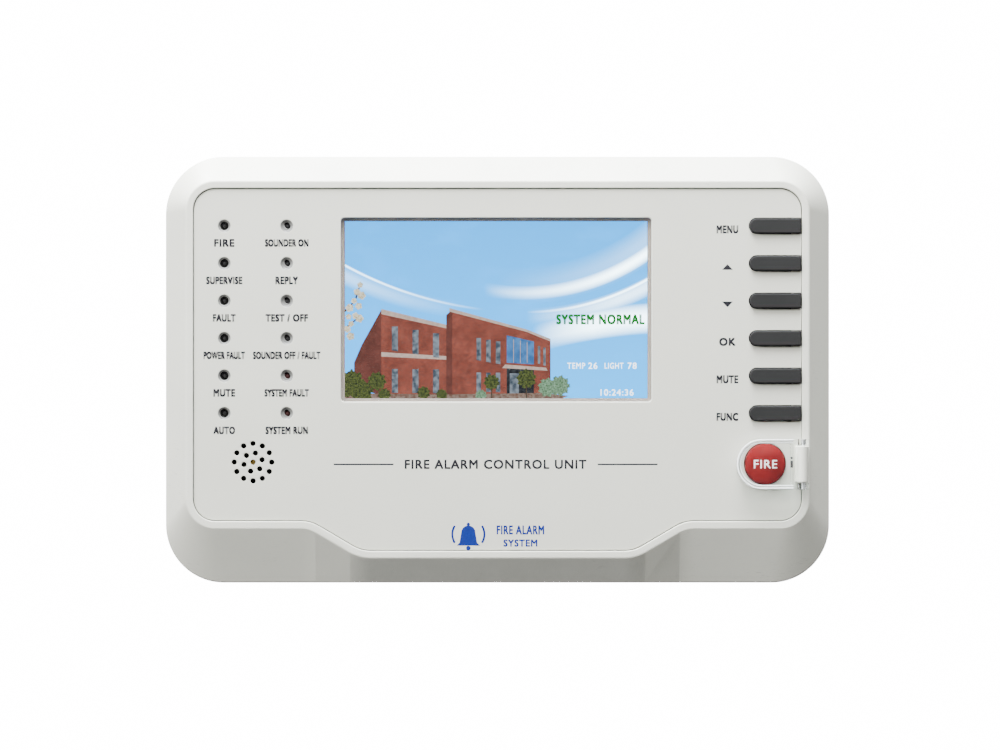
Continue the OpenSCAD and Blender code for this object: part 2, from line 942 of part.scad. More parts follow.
terminal_count = 4;
terminal_ways = 6;
way_pitch = 9;
terminal_z = [44, 56];
terminal_h = 14;
function terminal_x(i) = -120 + 60 * i;

// Rows of wire clamps along the board's top edge, with square entries for the wires
module terminal_blocks() {
    color("seagreen")
        for (i = [0 : terminal_count - 1])
            difference() {
                block([terminal_x(i), terminal_x(i) + terminal_ways * way_pitch],
                    [main_front_y - terminal_h, main_front_y], terminal_z);
                for (k = [0 : terminal_ways - 1])
                    translate([terminal_x(i) + way_pitch * (k + 0.5), 0, 0])
                        block([-2.5, 2.5], [main_front_y - 10, main_front_y - 4],
                            [terminal_z[1] - 5, terminal_z[1] + 1]);
            }
}

module main_header() {
    color("wheat")
        block([header_x - 4, header_x + 4], [main_front_y - header_h, main_front_y], header_z);
}

// The ribbon's route seen from above: straight runs joined by half and quarter turns
ribbon_t = 1;
ribbon_w = 26;
turn_r = 3;
fold_r = 4;
ribbon_start_y = main_front_y - header_h - 0.2;
ribbon_end_y = side_board_y + board_t + header_h + 0.2;
first_run_y = ribbon_start_y - 3 - turn_r;
second_run_y = first_run_y - 2 * fold_r;
third_run_y = second_run_y - 2 * fold_r;
fold_right_x = header_x + 20;
fold_left_x = header_x - 16;

// One side of the ribbon, at a distance e to the left of its route
function ribbon_side(e) = concat(
    [[header_x + e, ribbon_start_y]],
    arc([header_x + turn_r, first_run_y + turn_r], turn_r - e, 180, 270, 6),
    arc([fold_right_x, second_run_y + fold_r], fold_r + e, 90, -90, 12),
    arc([fold_left_x, third_run_y + fold_r], fold_r - e, 90, 270, 12),
    arc([header_x - turn_r, third_run_y - turn_r], turn_r + e, 90, 0, 6),
    [[header_x + e, ribbon_end_y]]);

function reversed(list) = [for (i = [len(list) - 1 : -1 : 0]) list[i]];

module ribbon_cable() {
    middle = (header_z[0] + header_z[1]) / 2;
    color("lightgray")
        translate([0, 0, middle - ribbon_w / 2])
            linear_extrude(ribbon_w)
                polygon(concat(ribbon_side(ribbon_t / 2), reversed(ribbon_side(-ribbon_t / 2))));
}

supply_x = [56, 132];
supply_z = [-88, -40];
supply_y = [-38, floor_y - 4];
supply_wall = 1;
supply_board_x = [60, 128];
supply_board_z = [-85, -43];
supply_board_y = -9.6;

module board_standoffs() {
    color("goldenrod") {
        at_board_holes(main_x, main_z)
            standoff([main_board_y, floor_y]);
        at_board_holes(supply_board_x, supply_board_z)
            standoff([supply_board_y + board_t, floor_y - supply_wall]);
    }
}

// Board screws, and the clamp screws of the terminals
module board_screws() {
    color("silver") {
        at_board_holes(main_x, main_z)
            screw_back(main_front_y, board_t + 6);
        at_board_holes(supply_board_x, supply_board_z)
            screw_back(supply_board_y, board_t + 3);
        for (i = [0 : terminal_count - 1], k = [0 : terminal_ways - 1])
            rod_y(terminal_x(i) + way_pitch * (k + 0.5), (terminal_z[0] + terminal_z[1]) / 2, 2.2,
                [main_front_y - terminal_h - 0.6, main_front_y - terminal_h]);
    }
}

module supply_tray() {
    x = [supply_x[0] + 1.5, supply_x[1] - 1.5];
    z = [supply_z[0] + 1.5, supply_z[1] - 1.5];
    color("silver")
        difference() {
            block(x, [floor_y - 8, floor_y], z);
            block([x[0] + supply_wall, x[1] - supply_wall], [floor_y - 9, floor_y - supply_wall],
                [z[0] - 1, z[1] + 1]);
        }
}

rocker_x = [68, 88];
rocker_z = -64;
rocker_pivot_y = supply_y[0] + 1;
switch_w = 13;
switch_h = 22.4;
rocker_cavity_w = 9.4;
rocker_cavity_h = 18.8;

module supply_cover() {
    inner_x = [supply_x[0] + supply_wall, supply_x[1] - supply_wall];
    inner_z = [supply_z[0] + supply_wall, supply_z[1] - supply_wall];
    color("silver")
        difference() {
            block(supply_x, supply_y, supply_z);
            block(inner_x, [supply_y[0] + supply_wall, supply_y[1] + 1], inner_z);
            for (x = rocker_x)
                block([x - switch_w / 2, x + switch_w / 2], [supply_y[0] - 1, supply_y[0] + 2],
                    [rocker_z - switch_h / 2, rocker_z + switch_h / 2]);
            for (i = [0 : 4])
                block([102 + 5.5 * i, 104.4 + 5.5 * i], [supply_y[0] - 1, supply_y[0] + 2], [-78, -50]);
        }
}

module supply_board() {
    color("darkgreen")
        board(supply_board_x, supply_board_z, supply_board_y, hole_inset);
}

module supply_parts() {
    color("gold")
        block([100, 122], [supply_board_y - 18, supply_board_y], [-78, -56]);
    color("black") {
        rod_y(106, -49.5, 4, [supply_board_y - 20, supply_board_y]);
        rod_y(117, -49.5, 4, [supply_board_y - 20, supply_board_y]);
        block([70, 92], [supply_board_y - 8, supply_board_y], [-80, -76]);
    }
}

module mains_terminal() {
    color("black")
        difference() {
            block([98, 130], [-19, floor_y], [-37, -23]);
            for (i = [0 : 2])
                rod_y(104 + 10 * i, -30, 2.6, [-20, -14]);
        }
}

module fuse_holder() {
    color("black") {
        block([66, 92], [-8, floor_y], [-35, -25]);
        rod_x(-11, -30, 3.4, [68, 90]);
        block([66, 69], [-13, -7], [-34, -26]);
        block([89, 92], [-13, -7], [-34, -26]);
    }
}

// Two switch bodies in the supply cover, each with a cavity and cross holes for its rocker
module switch_frames() {
    color("black")
        for (x = rocker_x)
            translate([x, 0, rocker_z])
                difference() {
                    union() {
                        block([-switch_w / 2, switch_w / 2], [supply_y[0], supply_y[0] + 13],
                            [-switch_h / 2, switch_h / 2]);
                        block([-switch_w / 2 - 1, switch_w / 2 + 1], [supply_y[0] - 1.6, supply_y[0]],
                            [-switch_h / 2 - 1, switch_h / 2 + 1]);
                    }
                    block([-rocker_cavity_w / 2, rocker_cavity_w / 2], [supply_y[0] - 2, supply_y[0] + 7],
                        [-rocker_cavity_h / 2, rocker_cavity_h / 2]);
                    rod_x(rocker_pivot_y, 0, 1.06, [-rocker_cavity_w / 2 - 1.2, rocker_cavity_w / 2 + 1.2]);
                }
}

rocker_tilt = 7;
rocker_half = 7.6;

// A rocker with its axle, drawn pressed at its top
module rocker(x) {
    half_w = rocker_cavity_w / 2 - 0.3;
    color("red")
        translate([x, rocker_pivot_y, rocker_z])
            rotate([-rocker_tilt, 0, 0]) {
                translate([-half_w, 0, 0])
                    rotate([90, 0, 90])
                        linear_extrude(2 * half_w)
                            polygon([[0, -rocker_half], [-4.4, -rocker_half], [-3.2, 0],
                                [-4.4, rocker_half], [0, rocker_half], [3, 3], [3, -3]]);
                rod_x(0, 0, 1, [-half_w - 1, half_w + 1]);
            }
}

module mains_rocker() { rocker(rocker_x[0]); }
module standby_rocker() { rocker(rocker_x[1]); }

lid_h = 7;

module battery_case() {
    color("dimgray") {
        block(battery_x, battery_y, [battery_z[0], battery_z[1] - lid_h]);
        block([battery_x[0] + 0.6, battery_x[1] - 0.6], [battery_y[0] + 0.6, battery_y[1] - 0.6],
            [battery_z[1] - lid_h, battery_z[1]]);
    }
}

// Blade terminals on top of the battery
module battery_tabs() {
    middle = (battery_y[0] + battery_y[1]) / 2;
    color("silver")
        for (x = [battery_x[0] + 12, battery_x[1] - 18])
            block([x, x + 6.3], [middle - 0.4, middle + 0.4], [battery_z[1], battery_z[1] + 6.4]);
}

// A sheet strap over the battery, from one foot on the housing's back wall to a leg below the battery
module battery_strap() {
    x = [-50, -36];
    t = 1.2;
    top = battery_z[1] + 0.4;
    bottom = battery_z[0] - 0.4;
    front = battery_y[0] - 0.2;
    color("silver") {
        block(x, [front - t, front], [bottom - t, top + t]);
        block(x, [front, floor_y], [top, top + t]);
        block(x, [front, floor_y], [bottom - t, bottom]);
        block(x, [floor_y - t, floor_y], [top + t, top + 7]);
    }
}

rear_housing();
front_cover();
face_panel();
screen_window();
screen_frame();
screen_glass();
backlight();
display_board();
display_chips();
indicator_board();
indicator_leds();
led_spacers();
sounder_case();
sounder_disc();
keypad_board();
key_switches();
menu_key();
up_key();
down_key();
confirm_key();
mute_key();
function_key();
alarm_button();
alarm_switch();
alarm_spring();
guard_block();
guard_cover();
guard_pin();
door_standoffs();
door_screws();
door_header();
door_strike();
door_hinges();
housing_hinges();
hinge_pins();
main_board();
main_chips();
main_capacitors();
relays();
terminal_blocks();
main_header();
ribbon_cable();
board_standoffs();
board_screws();
supply_tray();
supply_cover();
supply_board();
supply_parts();
mains_terminal();
fuse_holder();
switch_frames();
mains_rocker();
standby_rocker();
battery_case();
battery_tabs();
battery_strap();
lock_barrel();
lock_nut();
lock_plug();
lock_cam();
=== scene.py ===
import math
import random
from collections import namedtuple
from functools import cached_property

import bmesh
import bpy
from mathutils import Matrix, Vector, geometry


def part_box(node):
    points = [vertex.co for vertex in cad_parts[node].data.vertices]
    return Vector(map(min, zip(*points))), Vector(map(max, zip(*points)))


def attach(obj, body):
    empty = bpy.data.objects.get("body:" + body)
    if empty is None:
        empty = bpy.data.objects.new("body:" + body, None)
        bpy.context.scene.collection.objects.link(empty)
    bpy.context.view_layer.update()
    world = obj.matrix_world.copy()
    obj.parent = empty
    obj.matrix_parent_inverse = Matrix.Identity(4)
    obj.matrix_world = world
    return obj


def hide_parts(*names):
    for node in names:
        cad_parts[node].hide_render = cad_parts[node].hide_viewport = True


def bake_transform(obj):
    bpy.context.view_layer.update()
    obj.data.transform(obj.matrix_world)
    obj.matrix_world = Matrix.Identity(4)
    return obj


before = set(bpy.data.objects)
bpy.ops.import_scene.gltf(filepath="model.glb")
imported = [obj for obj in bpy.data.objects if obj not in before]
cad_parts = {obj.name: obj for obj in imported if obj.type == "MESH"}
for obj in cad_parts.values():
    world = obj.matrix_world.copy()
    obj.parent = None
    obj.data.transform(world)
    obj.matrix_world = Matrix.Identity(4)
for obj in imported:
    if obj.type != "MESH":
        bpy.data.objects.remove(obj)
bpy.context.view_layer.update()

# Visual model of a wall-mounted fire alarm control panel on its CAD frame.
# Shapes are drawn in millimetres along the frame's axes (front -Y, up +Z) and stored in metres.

MM = 0.001
Box = namedtuple("Box", "x y z")


def span(node):
    """A CAD node's box in millimetres, as a low and a high value along each axis."""
    return Box(*((low / MM, high / MM) for low, high in zip(*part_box(node))))


def solids(node):
    """The boxes of a CAD node's separate solids, in millimetres, sorted from left to right and upwards."""
    mesh = bmesh.new()
    mesh.from_mesh(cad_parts[node].data)
    bmesh.ops.remove_doubles(mesh, verts=mesh.verts[:], dist=0.001 * MM)
    boxes, seen = [], set()
    for start in mesh.verts:
        if start in seen:
            continue
        group, edge = set(), {start}
        while edge:
            group |= edge
            edge = {e.other_vert(v) for v in edge for e in v.link_edges} - group
        seen |= group
        places = ([v.co[i] / MM for v in group] for i in range(3))
        boxes.append(Box(*((min(p), max(p)) for p in places)))
    mesh.free()
    return sorted(boxes, key=lambda b: (round(b.x[0], 1), round(b.z[0], 1), round(b.y[0], 1)))


# ---- Ranges along an axis, and places on them ----


def middle(pair):
    return (pair[0] + pair[1]) / 2


def width(pair):
    return pair[1] - pair[0]


def about(value, half):
    return [value - half, value + half]


def inset(pair, distance):
    return [pair[0] + distance, pair[1] - distance]


def ends(pair, size):
    """The first and the last stretch of a range."""
    return [pair[0], pair[0] + size], [pair[1] - size, pair[1]]


def level(start, top, near, far):
    """A range between two distances from a level, counted towards the wall (top is 1) or the front (-1)."""
    return sorted((start + top * near, start + top * far))


def centre(box):
    """The middle of a box, seen from the front."""
    return middle(box.x), middle(box.z)


# ---- Flat outlines, as lists of points in X and Z ----


def arc(pivot, radius, start, end, steps):
    """Points along an arc, with its angles in degrees."""
    angles = [math.radians(start + (end - start) * i / steps) for i in range(steps + 1)]
    return [(pivot[0] + radius * math.cos(a), pivot[1] + radius * math.sin(a)) for a in angles]


def ring(pivot, radius, steps=48):
    return arc(pivot, radius, 0, 360, steps)[:-1]


def rectangle(x, z, radius=0.0, steps=6):
    """A rectangle between two ranges, with rounded corners."""
    corners = [(x[1], z[1]), (x[0], z[1]), (x[0], z[0]), (x[1], z[0])]
    if radius == 0:
        return corners
    loop = []
    for i, corner in enumerate(corners):
        pivot = [c + radius * (-1 if c == max(r) else 1) for c, r in zip(corner, (x, z))]
        loop += arc(pivot, radius, 90 * i, 90 * (i + 1), steps)
    return loop


def outline_of(box, distance=0.0, radius=0.0, steps=6):
    """A box's outline as seen from the front, moved inwards by a distance."""
    return rectangle(inset(box.x, distance), inset(box.z, distance), radius, steps)


def cross(at, reach, half):
    """The outline of a cross, from its arms' reach and half their thickness."""
    arm = (complex(reach, half), complex(half, half), complex(half, reach))
    corners = [corner * 1j ** turn for turn in range(4) for corner in arm]
    return [(at[0] + c.real, at[1] + c.imag) for c in corners]


def grow(loop, distance):
    """The loop moved outwards by a distance, with mitred corners."""
    count = len(loop)
    area = sum(loop[i - 1][0] * loop[i][1] - loop[i][0] * loop[i - 1][1] for i in range(count))
    side = 1 if area > 0 else -1
    grown = []
    for i in range(count):
        before, here, after = (Vector(loop[k % count]) for k in (i - 1, i, i + 1))
        ways = ((here - before).normalized(), (after - here).normalized())
        normals = [Vector((way.y, -way.x)) * side for way in ways]
        mitre = (normals[0] + normals[1]).normalized()
        grown.append(tuple(here + mitre * (distance / max(mitre.dot(normals[0]), 0.4))))
    return grown


def at_y(outline, y):
    return [(x, y, z) for x, z in outline]


def quarter_turn(steps):
    return [math.pi / 2 * i / steps for i in range(steps + 1)]


def round_rim(radius, steps=4):
    """A rounded edge as (distance from the loop, depth) pairs, from the face to the wall."""
    return [(radius * (1 - math.sin(a)), radius * (1 - math.cos(a))) for a in quarter_turn(steps)]


def dome(radius, tip, height, steps=8):
    """A dome as (radius, place along its axis) pairs, from its tip to its rim."""
    return [(radius * math.sin(a), tip + height * (1 - math.cos(a))) for a in quarter_turn(steps)]


# ---- Meshes ----


def bands(start, count, levels, closed=False):
    """The faces between neighbouring rings of points; closed joins the last ring to the first."""
    faces = []
    for k in range(levels if closed else levels - 1):
        low, high = start + k * count, start + (k + 1) % levels * count
        faces += [(low + i, low + (i + 1) % count, high + (i + 1) % count, high + i) for i in range(count)]
    return faces


def placed(name, data):
    """A new object in the scene that shows this mesh, text, light or camera."""
    obj = bpy.data.objects.new(name, data)
    bpy.context.collection.objects.link(obj)
    return obj


# Bent letters are cut finer where their edges are longer than this, as a share of the letters' size, and
# the copies of bold letters lie this far apart in depth
LONG_EDGE = 0.15
COPY_GAP = 0.002


class Shape:
    """Gathers the parts of one piece, each with its own material."""

    def __init__(self):
        self.points = []
        self.faces = []
        self.kinds = []
        self.materials = []

    def add(self, points, faces, material):
        start = len(self.points)
        if material not in self.materials:
            self.materials.append(material)
        self.points += [tuple(p) for p in points]
        self.faces += [[start + i for i in face] for face in faces]
        self.kinds += [self.materials.index(material)] * len(faces)

    def block(self, x, y, z, material):
        points = [(a, b, c) for a in x for b in y for c in z]
        faces = [(0, 1, 3, 2), (4, 6, 7, 5), (0, 4, 5, 1), (2, 3, 7, 6), (0, 2, 6, 4), (1, 5, 7, 3)]
        self.add(points, faces, material)

    def bar(self, upright, along, across, y, material):
        """A block that lies along X, or along Z if it is upright."""
        x, z = (across, along) if upright else (along, across)
        self.block(x, y, z, material)

    def loops(self, rings, material, closed=False, caps=False):
        """A skin over rings with the same number of points; closed joins the last to the first."""
        count, total = len(rings[0]), len(rings[0]) * len(rings)
        faces = bands(0, count, len(rings), closed)
        if caps:
            faces += [tuple(range(count)), tuple(range(total - count, total))]
        self.add([p for r in rings for p in r], faces, material)

    def lathe(self, axis, at, profile, material, sides=48, closed=False):
        """A turned part from (radius, place along the axis) pairs, solid, or a closed ring."""
        order = {"x": (2, 0, 1), "y": (0, 2, 1)}[axis]
        rings = []
        for radius, along in profile:
            turned = [(*p, along) for p in ring(at, max(radius, 0.001), sides)]
            rings.append([tuple(p[k] for k in order) for p in turned])
        self.loops(rings, material, closed, caps=not closed)

    def rod(self, axis, at, radius, reach, material, sides=32, edge=0.0):
        """A straight rod with lightly rounded ends."""
        rim = round_rim(edge) if edge else [(0, 0)]
        low = [(radius - e, reach[0] + d) for e, d in rim]
        high = [(radius - e, reach[1] - d) for e, d in reversed(rim)]
        self.lathe(axis, at, low + high, material, sides)

    def plate(self, outline, y, material, holes=(), rim=0.2, back_rim=0.0):
        """A sheet seen from the front between two levels along Y, with rounded front edges.
        Each hole is a loop with its own (growth, depth) pairs."""
        depth = y[1] - y[0]
        end = [(g, depth - d) for g, d in reversed(round_rim(back_rim))] if back_rim else [(0, depth)]
        edges = [(outline, -1, round_rim(rim))] + [(loop, 1, profile) for loop, profile in holes]
        points, faces, fronts, backs = [], [], [], []
        for loop, side, profile in edges:
            count, start = len(loop), len(points)
            for growth, down in profile + end:
                points += at_y(grow(loop, side * growth) if growth else loop, y[0] + down)
            faces += bands(start, count, len(profile + end))
            fronts.append(range(start, start + count))
            backs.append(range(len(points) - count, len(points)))
        for sides in (fronts, backs):
            flat = [[Vector((points[i][0], points[i][2], 0)) for i in side] for side in sides]
            order = [i for side in sides for i in side]
            faces += [[order[i] for i in face] for face in geometry.tessellate_polygon(flat)]
        self.add(points, faces, material)

    def stamp(self, outline, y, material, holes=()):
        """A printed patch."""
        self.plate(outline, [y - 0.03, y], material, holes, rim=0.01)

    def tube(self, route, radius, material, sides=10):
        """A round wire along a route, with closed ends."""
        rings = []
        route = [Vector(p) for p in route]
        side = (route[1] - route[0]).normalized().orthogonal().normalized()
        for i, point in enumerate(route):
            ahead = (route[min(i + 1, len(route) - 1)] - route[max(i - 1, 0)]).normalized()
            side = (side - ahead * side.dot(ahead)).normalized()
            other = ahead.cross(side)
            rings.append([tuple(point + (side * math.cos(a) + other * math.sin(a)) * radius)
                          for a in (math.tau * k / sides for k in range(sides))])
        self.loops(rings, material, caps=True)

    def wire(self, points, radius, colour, sides=12):
        """An insulated wire on a smooth curve through points."""
        self.tube(curve_through(points), radius, WIRES[colour], sides)

    def words(self, text, at, height, most_width, y, material, bold=0.0, thick=0.04):
        """A line of capital letters facing the front, centred on a point in X and Z.
        Bold letters are four copies, shifted by that many millimetres to make the strokes heavier.
        y is a level, or a function of X and Z that the letters follow."""
        curve = bpy.data.curves.new("letters", "FONT")
        curve.body = text
        curve.extrude = 0.5
        curve.space_character = 1.14
        curve.resolution_u = 3
        letters = placed("letters", curve)
        mesh = bpy.data.meshes.new_from_object(letters.evaluated_get(bpy.context.evaluated_depsgraph_get()))
        if callable(y):
            fine = bmesh.new()
            fine.from_mesh(mesh)
            bmesh.ops.triangulate(fine, faces=fine.faces[:])
            for _ in range(2):
                long_edges = [e for e in fine.edges if e.calc_length() > LONG_EDGE]
                bmesh.ops.subdivide_edges(fine, edges=long_edges, cuts=1)
                bmesh.ops.triangulate(fine, faces=fine.faces[:])
            fine.to_mesh(mesh)
            fine.free()
        corners = [v.co.copy() for v in mesh.vertices]
        low, high = ([pick(c[i] for c in corners) for i in range(2)] for pick in (min, max))
        tall = height / (high[1] - low[1])
        wide = min(tall, most_width / (high[0] - low[0]))
        shifts = ((-1, -1), (1, -1), (1, 1), (-1, 1)) if bold else ((0, 0),)
        for copy, (right, up) in enumerate(shifts):
            points = []
            for c in corners:
                x = at[0] + (c.x - (low[0] + high[0]) / 2) * wide + right * bold
                z = at[1] + (c.y - (low[1] + high[1]) / 2) * tall + up * bold
                points.append((x, (y(x, z) if callable(y) else y) - c.z * thick - COPY_GAP * copy, z))
            self.add(points, [tuple(f.vertices) for f in mesh.polygons], material)
        bpy.data.objects.remove(letters)

    def piece(self, name, body, slot, replaces=(), bevel=0.0, solid=True):
        """Makes the piece, rounds its sharp edges and sets it on a CAD body if it is given one."""
        mesh = bpy.data.meshes.new(name)
        mesh.from_pydata([[c * MM for c in p] for p in self.points], [], self.faces)
        for material in self.materials:
            mesh.materials.append(material)
        mesh.polygons.foreach_set("material_index", self.kinds)
        mesh.polygons.foreach_set("use_smooth", [True] * len(self.faces))
        if solid:
            parts = bmesh.new()
            parts.from_mesh(mesh)
            bmesh.ops.recalc_face_normals(parts, faces=parts.faces[:])
            parts.to_mesh(mesh)
            parts.free()
        mesh.update()
        obj = placed(name, mesh)
        smooth_edges(obj, bevel)
        if body:
            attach(obj, body)
        if replaces:
            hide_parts(*replaces)
        return obj


def curve_through(points, steps=8):
    """A smooth route through points."""
    points = [Vector(p) for p in points]
    route = []
    for i in range(len(points) - 1):
        a, b = points[i], points[i + 1]
        before, after = points[max(i - 1, 0)], points[min(i + 2, len(points) - 1)]
        for k in range(steps):
            t = k / steps
            route.append(0.5 * ((2 * a) + (b - before) * t + (2 * before - 5 * a + 4 * b - after) * t * t
                                + (3 * a - before - 3 * b + after) * t ** 3))
    return route + [points[-1]]


def smooth_edges(obj, bevel, steps=2, weld=False):
    """Rounds an object's sharp edges by modifiers, in millimetres."""
    if weld:
        obj.modifiers.new("weld", "WELD").merge_threshold = 0.001 * MM
    if bevel:
        rounding = obj.modifiers.new("rounded_edges", "BEVEL")
        rounding.width = bevel * MM
        rounding.segments = steps
        rounding.limit_method = "ANGLE"
        rounding.angle_limit = math.radians(35)
    normals = obj.modifiers.new("normals", "WEIGHTED_NORMAL")
    normals.keep_sharp = False
    normals.weight = 80


def dress(nodes, material, bevel=0.3, steps=2):
    """Gives CAD nodes a finish and rounded edges."""
    for node in nodes.split():
        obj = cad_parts[node]
        for slot in obj.material_slots:
            slot.material = material
        smooth_edges(obj, bevel, steps, weld=True)
        for face in obj.data.polygons:
            face.use_smooth = True


# ---- Materials ----


class Nodes:
    """A node tree being built, with its patterns in millimetres."""

    def __init__(self, owner):
        self.owner = owner
        owner.use_nodes = True
        self.tree = owner.node_tree
        self.tree.nodes.clear()

    def add(self, kind, sockets=None, **settings):
        """Adds a shader node; a socket's value may be another node's output."""
        node = self.tree.nodes.new("ShaderNode" + kind)
        for key, value in settings.items():
            setattr(node, key, value)
        for key, value in (sockets or {}).items():
            if isinstance(value, bpy.types.NodeSocket):
                self.tree.links.new(value, node.inputs[key])
            else:
                node.inputs[key].default_value = value
        return node

    def maths(self, operation, *values, kind="Math"):
        return self.add(kind, dict(enumerate(values)), operation=operation).outputs[0]

    @cached_property
    def where(self):
        """A piece's own coordinates in millimetres, so that patterns keep their real scale."""
        metres = self.add("TexCoord").outputs["Object"]
        return self.maths("MULTIPLY", metres, (1 / MM,) * 3, kind="VectorMath")

    @cached_property
    def parts(self):
        return self.add("SeparateXYZ", {0: self.where}).outputs

    def noise(self, size, detail=2.0, stretch=None):
        """A cloudy pattern with features of a size in millimetres."""
        where = self.maths("MULTIPLY", self.where, stretch, kind="VectorMath") if stretch else self.where
        return self.add("TexNoise", {"Vector": where, "Scale": 1 / size, "Detail": detail}).outputs["Fac"]

    def between(self, value, low, high, start=0.3, end=0.7):
        """The value carried from one range to another, and held at its ends."""
        sockets = {"Value": value, "From Min": start, "From Max": end, "To Min": low, "To Max": high}
        return self.add("MapRange", sockets).outputs[0]

    def mixed(self, share, *colours):
        """Two colours mixed by a share."""
        first, second = (c if isinstance(c, bpy.types.NodeSocket) else (*c, 1) for c in colours)
        return self.add("Mix", {0: share, 6: first, 7: second}, data_type="RGBA").outputs[2]

    def raised(self, height, depth, **more):
        """A bump with a depth in millimetres."""
        sockets = {"Height": height, "Distance": depth * MM, "Strength": 1.0, **more}
        return self.add("Bump", sockets).outputs[0]

    def bricks(self, axes, colours, joint, brick, row):
        """A brick pattern over two of the three axes, with its sizes in millimetres."""
        flat = self.add("CombineXYZ", {i: self.parts[axis] for i, axis in enumerate(axes)}).outputs[0]
        sockets = dict(zip(("Color1", "Color2", "Mortar"), ((*c, 1) for c in colours)))
        sockets.update({"Vector": flat, "Scale": 1.0})
        sockets.update({"Mortar Size": joint, "Brick Width": brick, "Row Height": row})
        return self.add("TexBrick", sockets).outputs["Color"]

    def shown(self, shader, output="OutputMaterial"):
        """Ends the tree in a shader, and gives back what it belongs to."""
        self.add(output, {"Surface": shader.outputs[0]})
        return self.owner

    def shaded(self, colour, roughness, normal, fixed=None):
        """Ends the tree in a Principled shader; fixed holds the sockets that are the same all over."""
        sockets = {"Base Color": colour, "Roughness": roughness, "Normal": normal, **(fixed or {})}
        return self.shown(self.add("BsdfPrincipled", sockets))

    def lit(self, colour, strength=1.0):
        """Ends the tree in a light of its own, as on a screen."""
        return self.shown(self.add("Emission", {"Color": colour, "Strength": strength}))


def blank(name):
    return Nodes(bpy.data.materials.new(name))


def scaled(colour, factor):
    return tuple(c * factor for c in colour)


def plastic(name, colour, rough=0.42, grain=0.5, depth=0.012, uneven=0.04, coat=0.0, scuffs=0.0, shine=0.5):
    """Moulded plastic: a fine eroded texture, patchy gloss, a little unevenness and rubbed-in dirt."""
    tree = blank(name)
    cloud = tree.between(tree.noise(38, 3), 0, 1)
    specks = tree.between(tree.noise(2.2, 4), 0.10, 0, 0.30, 0.42)
    shade = tree.mixed(cloud, scaled(colour, 1 - uneven), scaled(colour, 1 + uneven / 2))
    shade = tree.mixed(specks, shade, scaled(colour, 0.8))
    gloss = tree.between(tree.noise(14, 4), rough - 0.06, rough + 0.07)
    bump = tree.raised(tree.noise(45, 1), 0.12, Normal=tree.raised(tree.noise(grain, 3), depth))
    if scuffs:
        marks = tree.between(tree.noise(3, 5, (1, 1, 6)), 0, 1, 0.60, 0.70)
        patches = tree.between(tree.noise(30, 2), 0, scuffs, 0.52, 0.66)
        shade = tree.mixed(tree.maths("MULTIPLY", marks, patches), shade, scaled(colour, 0.62))
    fixed = {"Coat Weight": coat, "Coat Roughness": 0.12, "Specular IOR Level": shine}
    return tree.shaded(shade, gloss, bump, fixed)


def metal(name, colour, rough=0.34, brushed=(1, 1, 14), depth=0.006, tarnish=0.25):
    """Bare or plated metal: brushed streaks, cloudy gloss and a little tarnish."""
    tree = blank(name)
    streaks = tree.noise(2.6, 6, brushed)
    cloud = tree.noise(11, 4)
    shade = tree.mixed(tree.between(streaks, 0, 1), scaled(colour, 0.82), colour)
    shade = tree.mixed(tree.between(cloud, 0, tarnish, 0.5, 0.75), shade, scaled(colour, 0.55))
    return tree.shaded(shade, tree.between(cloud, rough - 0.08, rough + 0.14), tree.raised(streaks, depth),
                       {"Metallic": 1.0})


def clear(name, tint, rough=0.03, lets_by=0.96):
    """Clear plastic that lets light through to what is behind it, with faint moulding ripples."""
    tree = blank(name)
    glass = tree.add("BsdfPrincipled", {"Base Color": (*tint, 1), "Transmission Weight": 1.0, "IOR": 1.49,
                                        "Roughness": tree.between(tree.noise(5, 4), rough, rough + 0.05),
                                        "Normal": tree.raised(tree.noise(7, 2), 0.02)})
    through = tree.add("BsdfTransparent", {"Color": (*scaled(tint, lets_by), 1)})
    shadow = tree.add("LightPath").outputs["Is Shadow Ray"]
    return tree.shown(tree.add("MixShader", {0: shadow, 1: glass.outputs[0], 2: through.outputs[0]}))


def ink(name, colour, rough=0.6):
    """Screen-printed ink, slightly uneven and matt."""
    tree = blank(name)
    patchy = tree.mixed(tree.between(tree.noise(0.7, 4), 0, 1), scaled(colour, 0.8), scaled(colour, 1.25))
    gloss = tree.between(tree.noise(2, 2), rough - 0.1, rough + 0.1)
    return tree.shaded(patchy, gloss, tree.raised(tree.noise(0.3, 2), 0.01), {"Specular IOR Level": 0.2})


def glow(name, first, second, size=3.0, detail=3.0):
    """A lit part of the picture on the screen, cloudy between two colours."""
    tree = blank(name)
    return tree.lit(tree.mixed(tree.between(tree.noise(size, detail), 0, 1, 0.35, 0.65), first, second))


white_plastic = plastic("white_plastic", (0.77, 0.77, 0.68), rough=0.36, grain=0.45, depth=0.010, scuffs=0.5)
panel_plastic = plastic("panel_plastic", (0.685, 0.685, 0.60), rough=0.46, grain=0.3, depth=0.006,
                        uneven=0.02)
white_guide = plastic("white_guide", (0.85, 0.86, 0.85), rough=0.3)
clear_plastic = clear("clear_plastic", (0.93, 0.95, 0.945), lets_by=0.88)
window_plastic = clear("window_plastic", (0.98, 0.99, 0.99), 0.02)
key_grey = plastic("key_grey", (0.022, 0.022, 0.022), rough=0.5, grain=0.25, depth=0.006, uneven=0.12,
                   shine=0.12)
alarm_red = plastic("alarm_red", (0.150, 0.009, 0.010), rough=0.08, grain=0.8, depth=0.001, uneven=0.1,
                    shine=0.09)
black_plastic = plastic("black_plastic", (0.020, 0.020, 0.021), rough=0.48, uneven=0.2)
socket_grey = plastic("socket_grey", (0.21, 0.21, 0.20), rough=0.5)
# Whitish and grey finishes for the lines along the clear guard's edges: painted highlights and painted shade
painted_edge_highlight = plastic("painted_edge_highlight", (0.93, 0.94, 0.94), rough=0.12, grain=2, depth=0.003, uneven=0.02)
painted_edge_shade = plastic("painted_edge_shade", (0.34, 0.35, 0.35), rough=0.2, grain=2, depth=0.003)
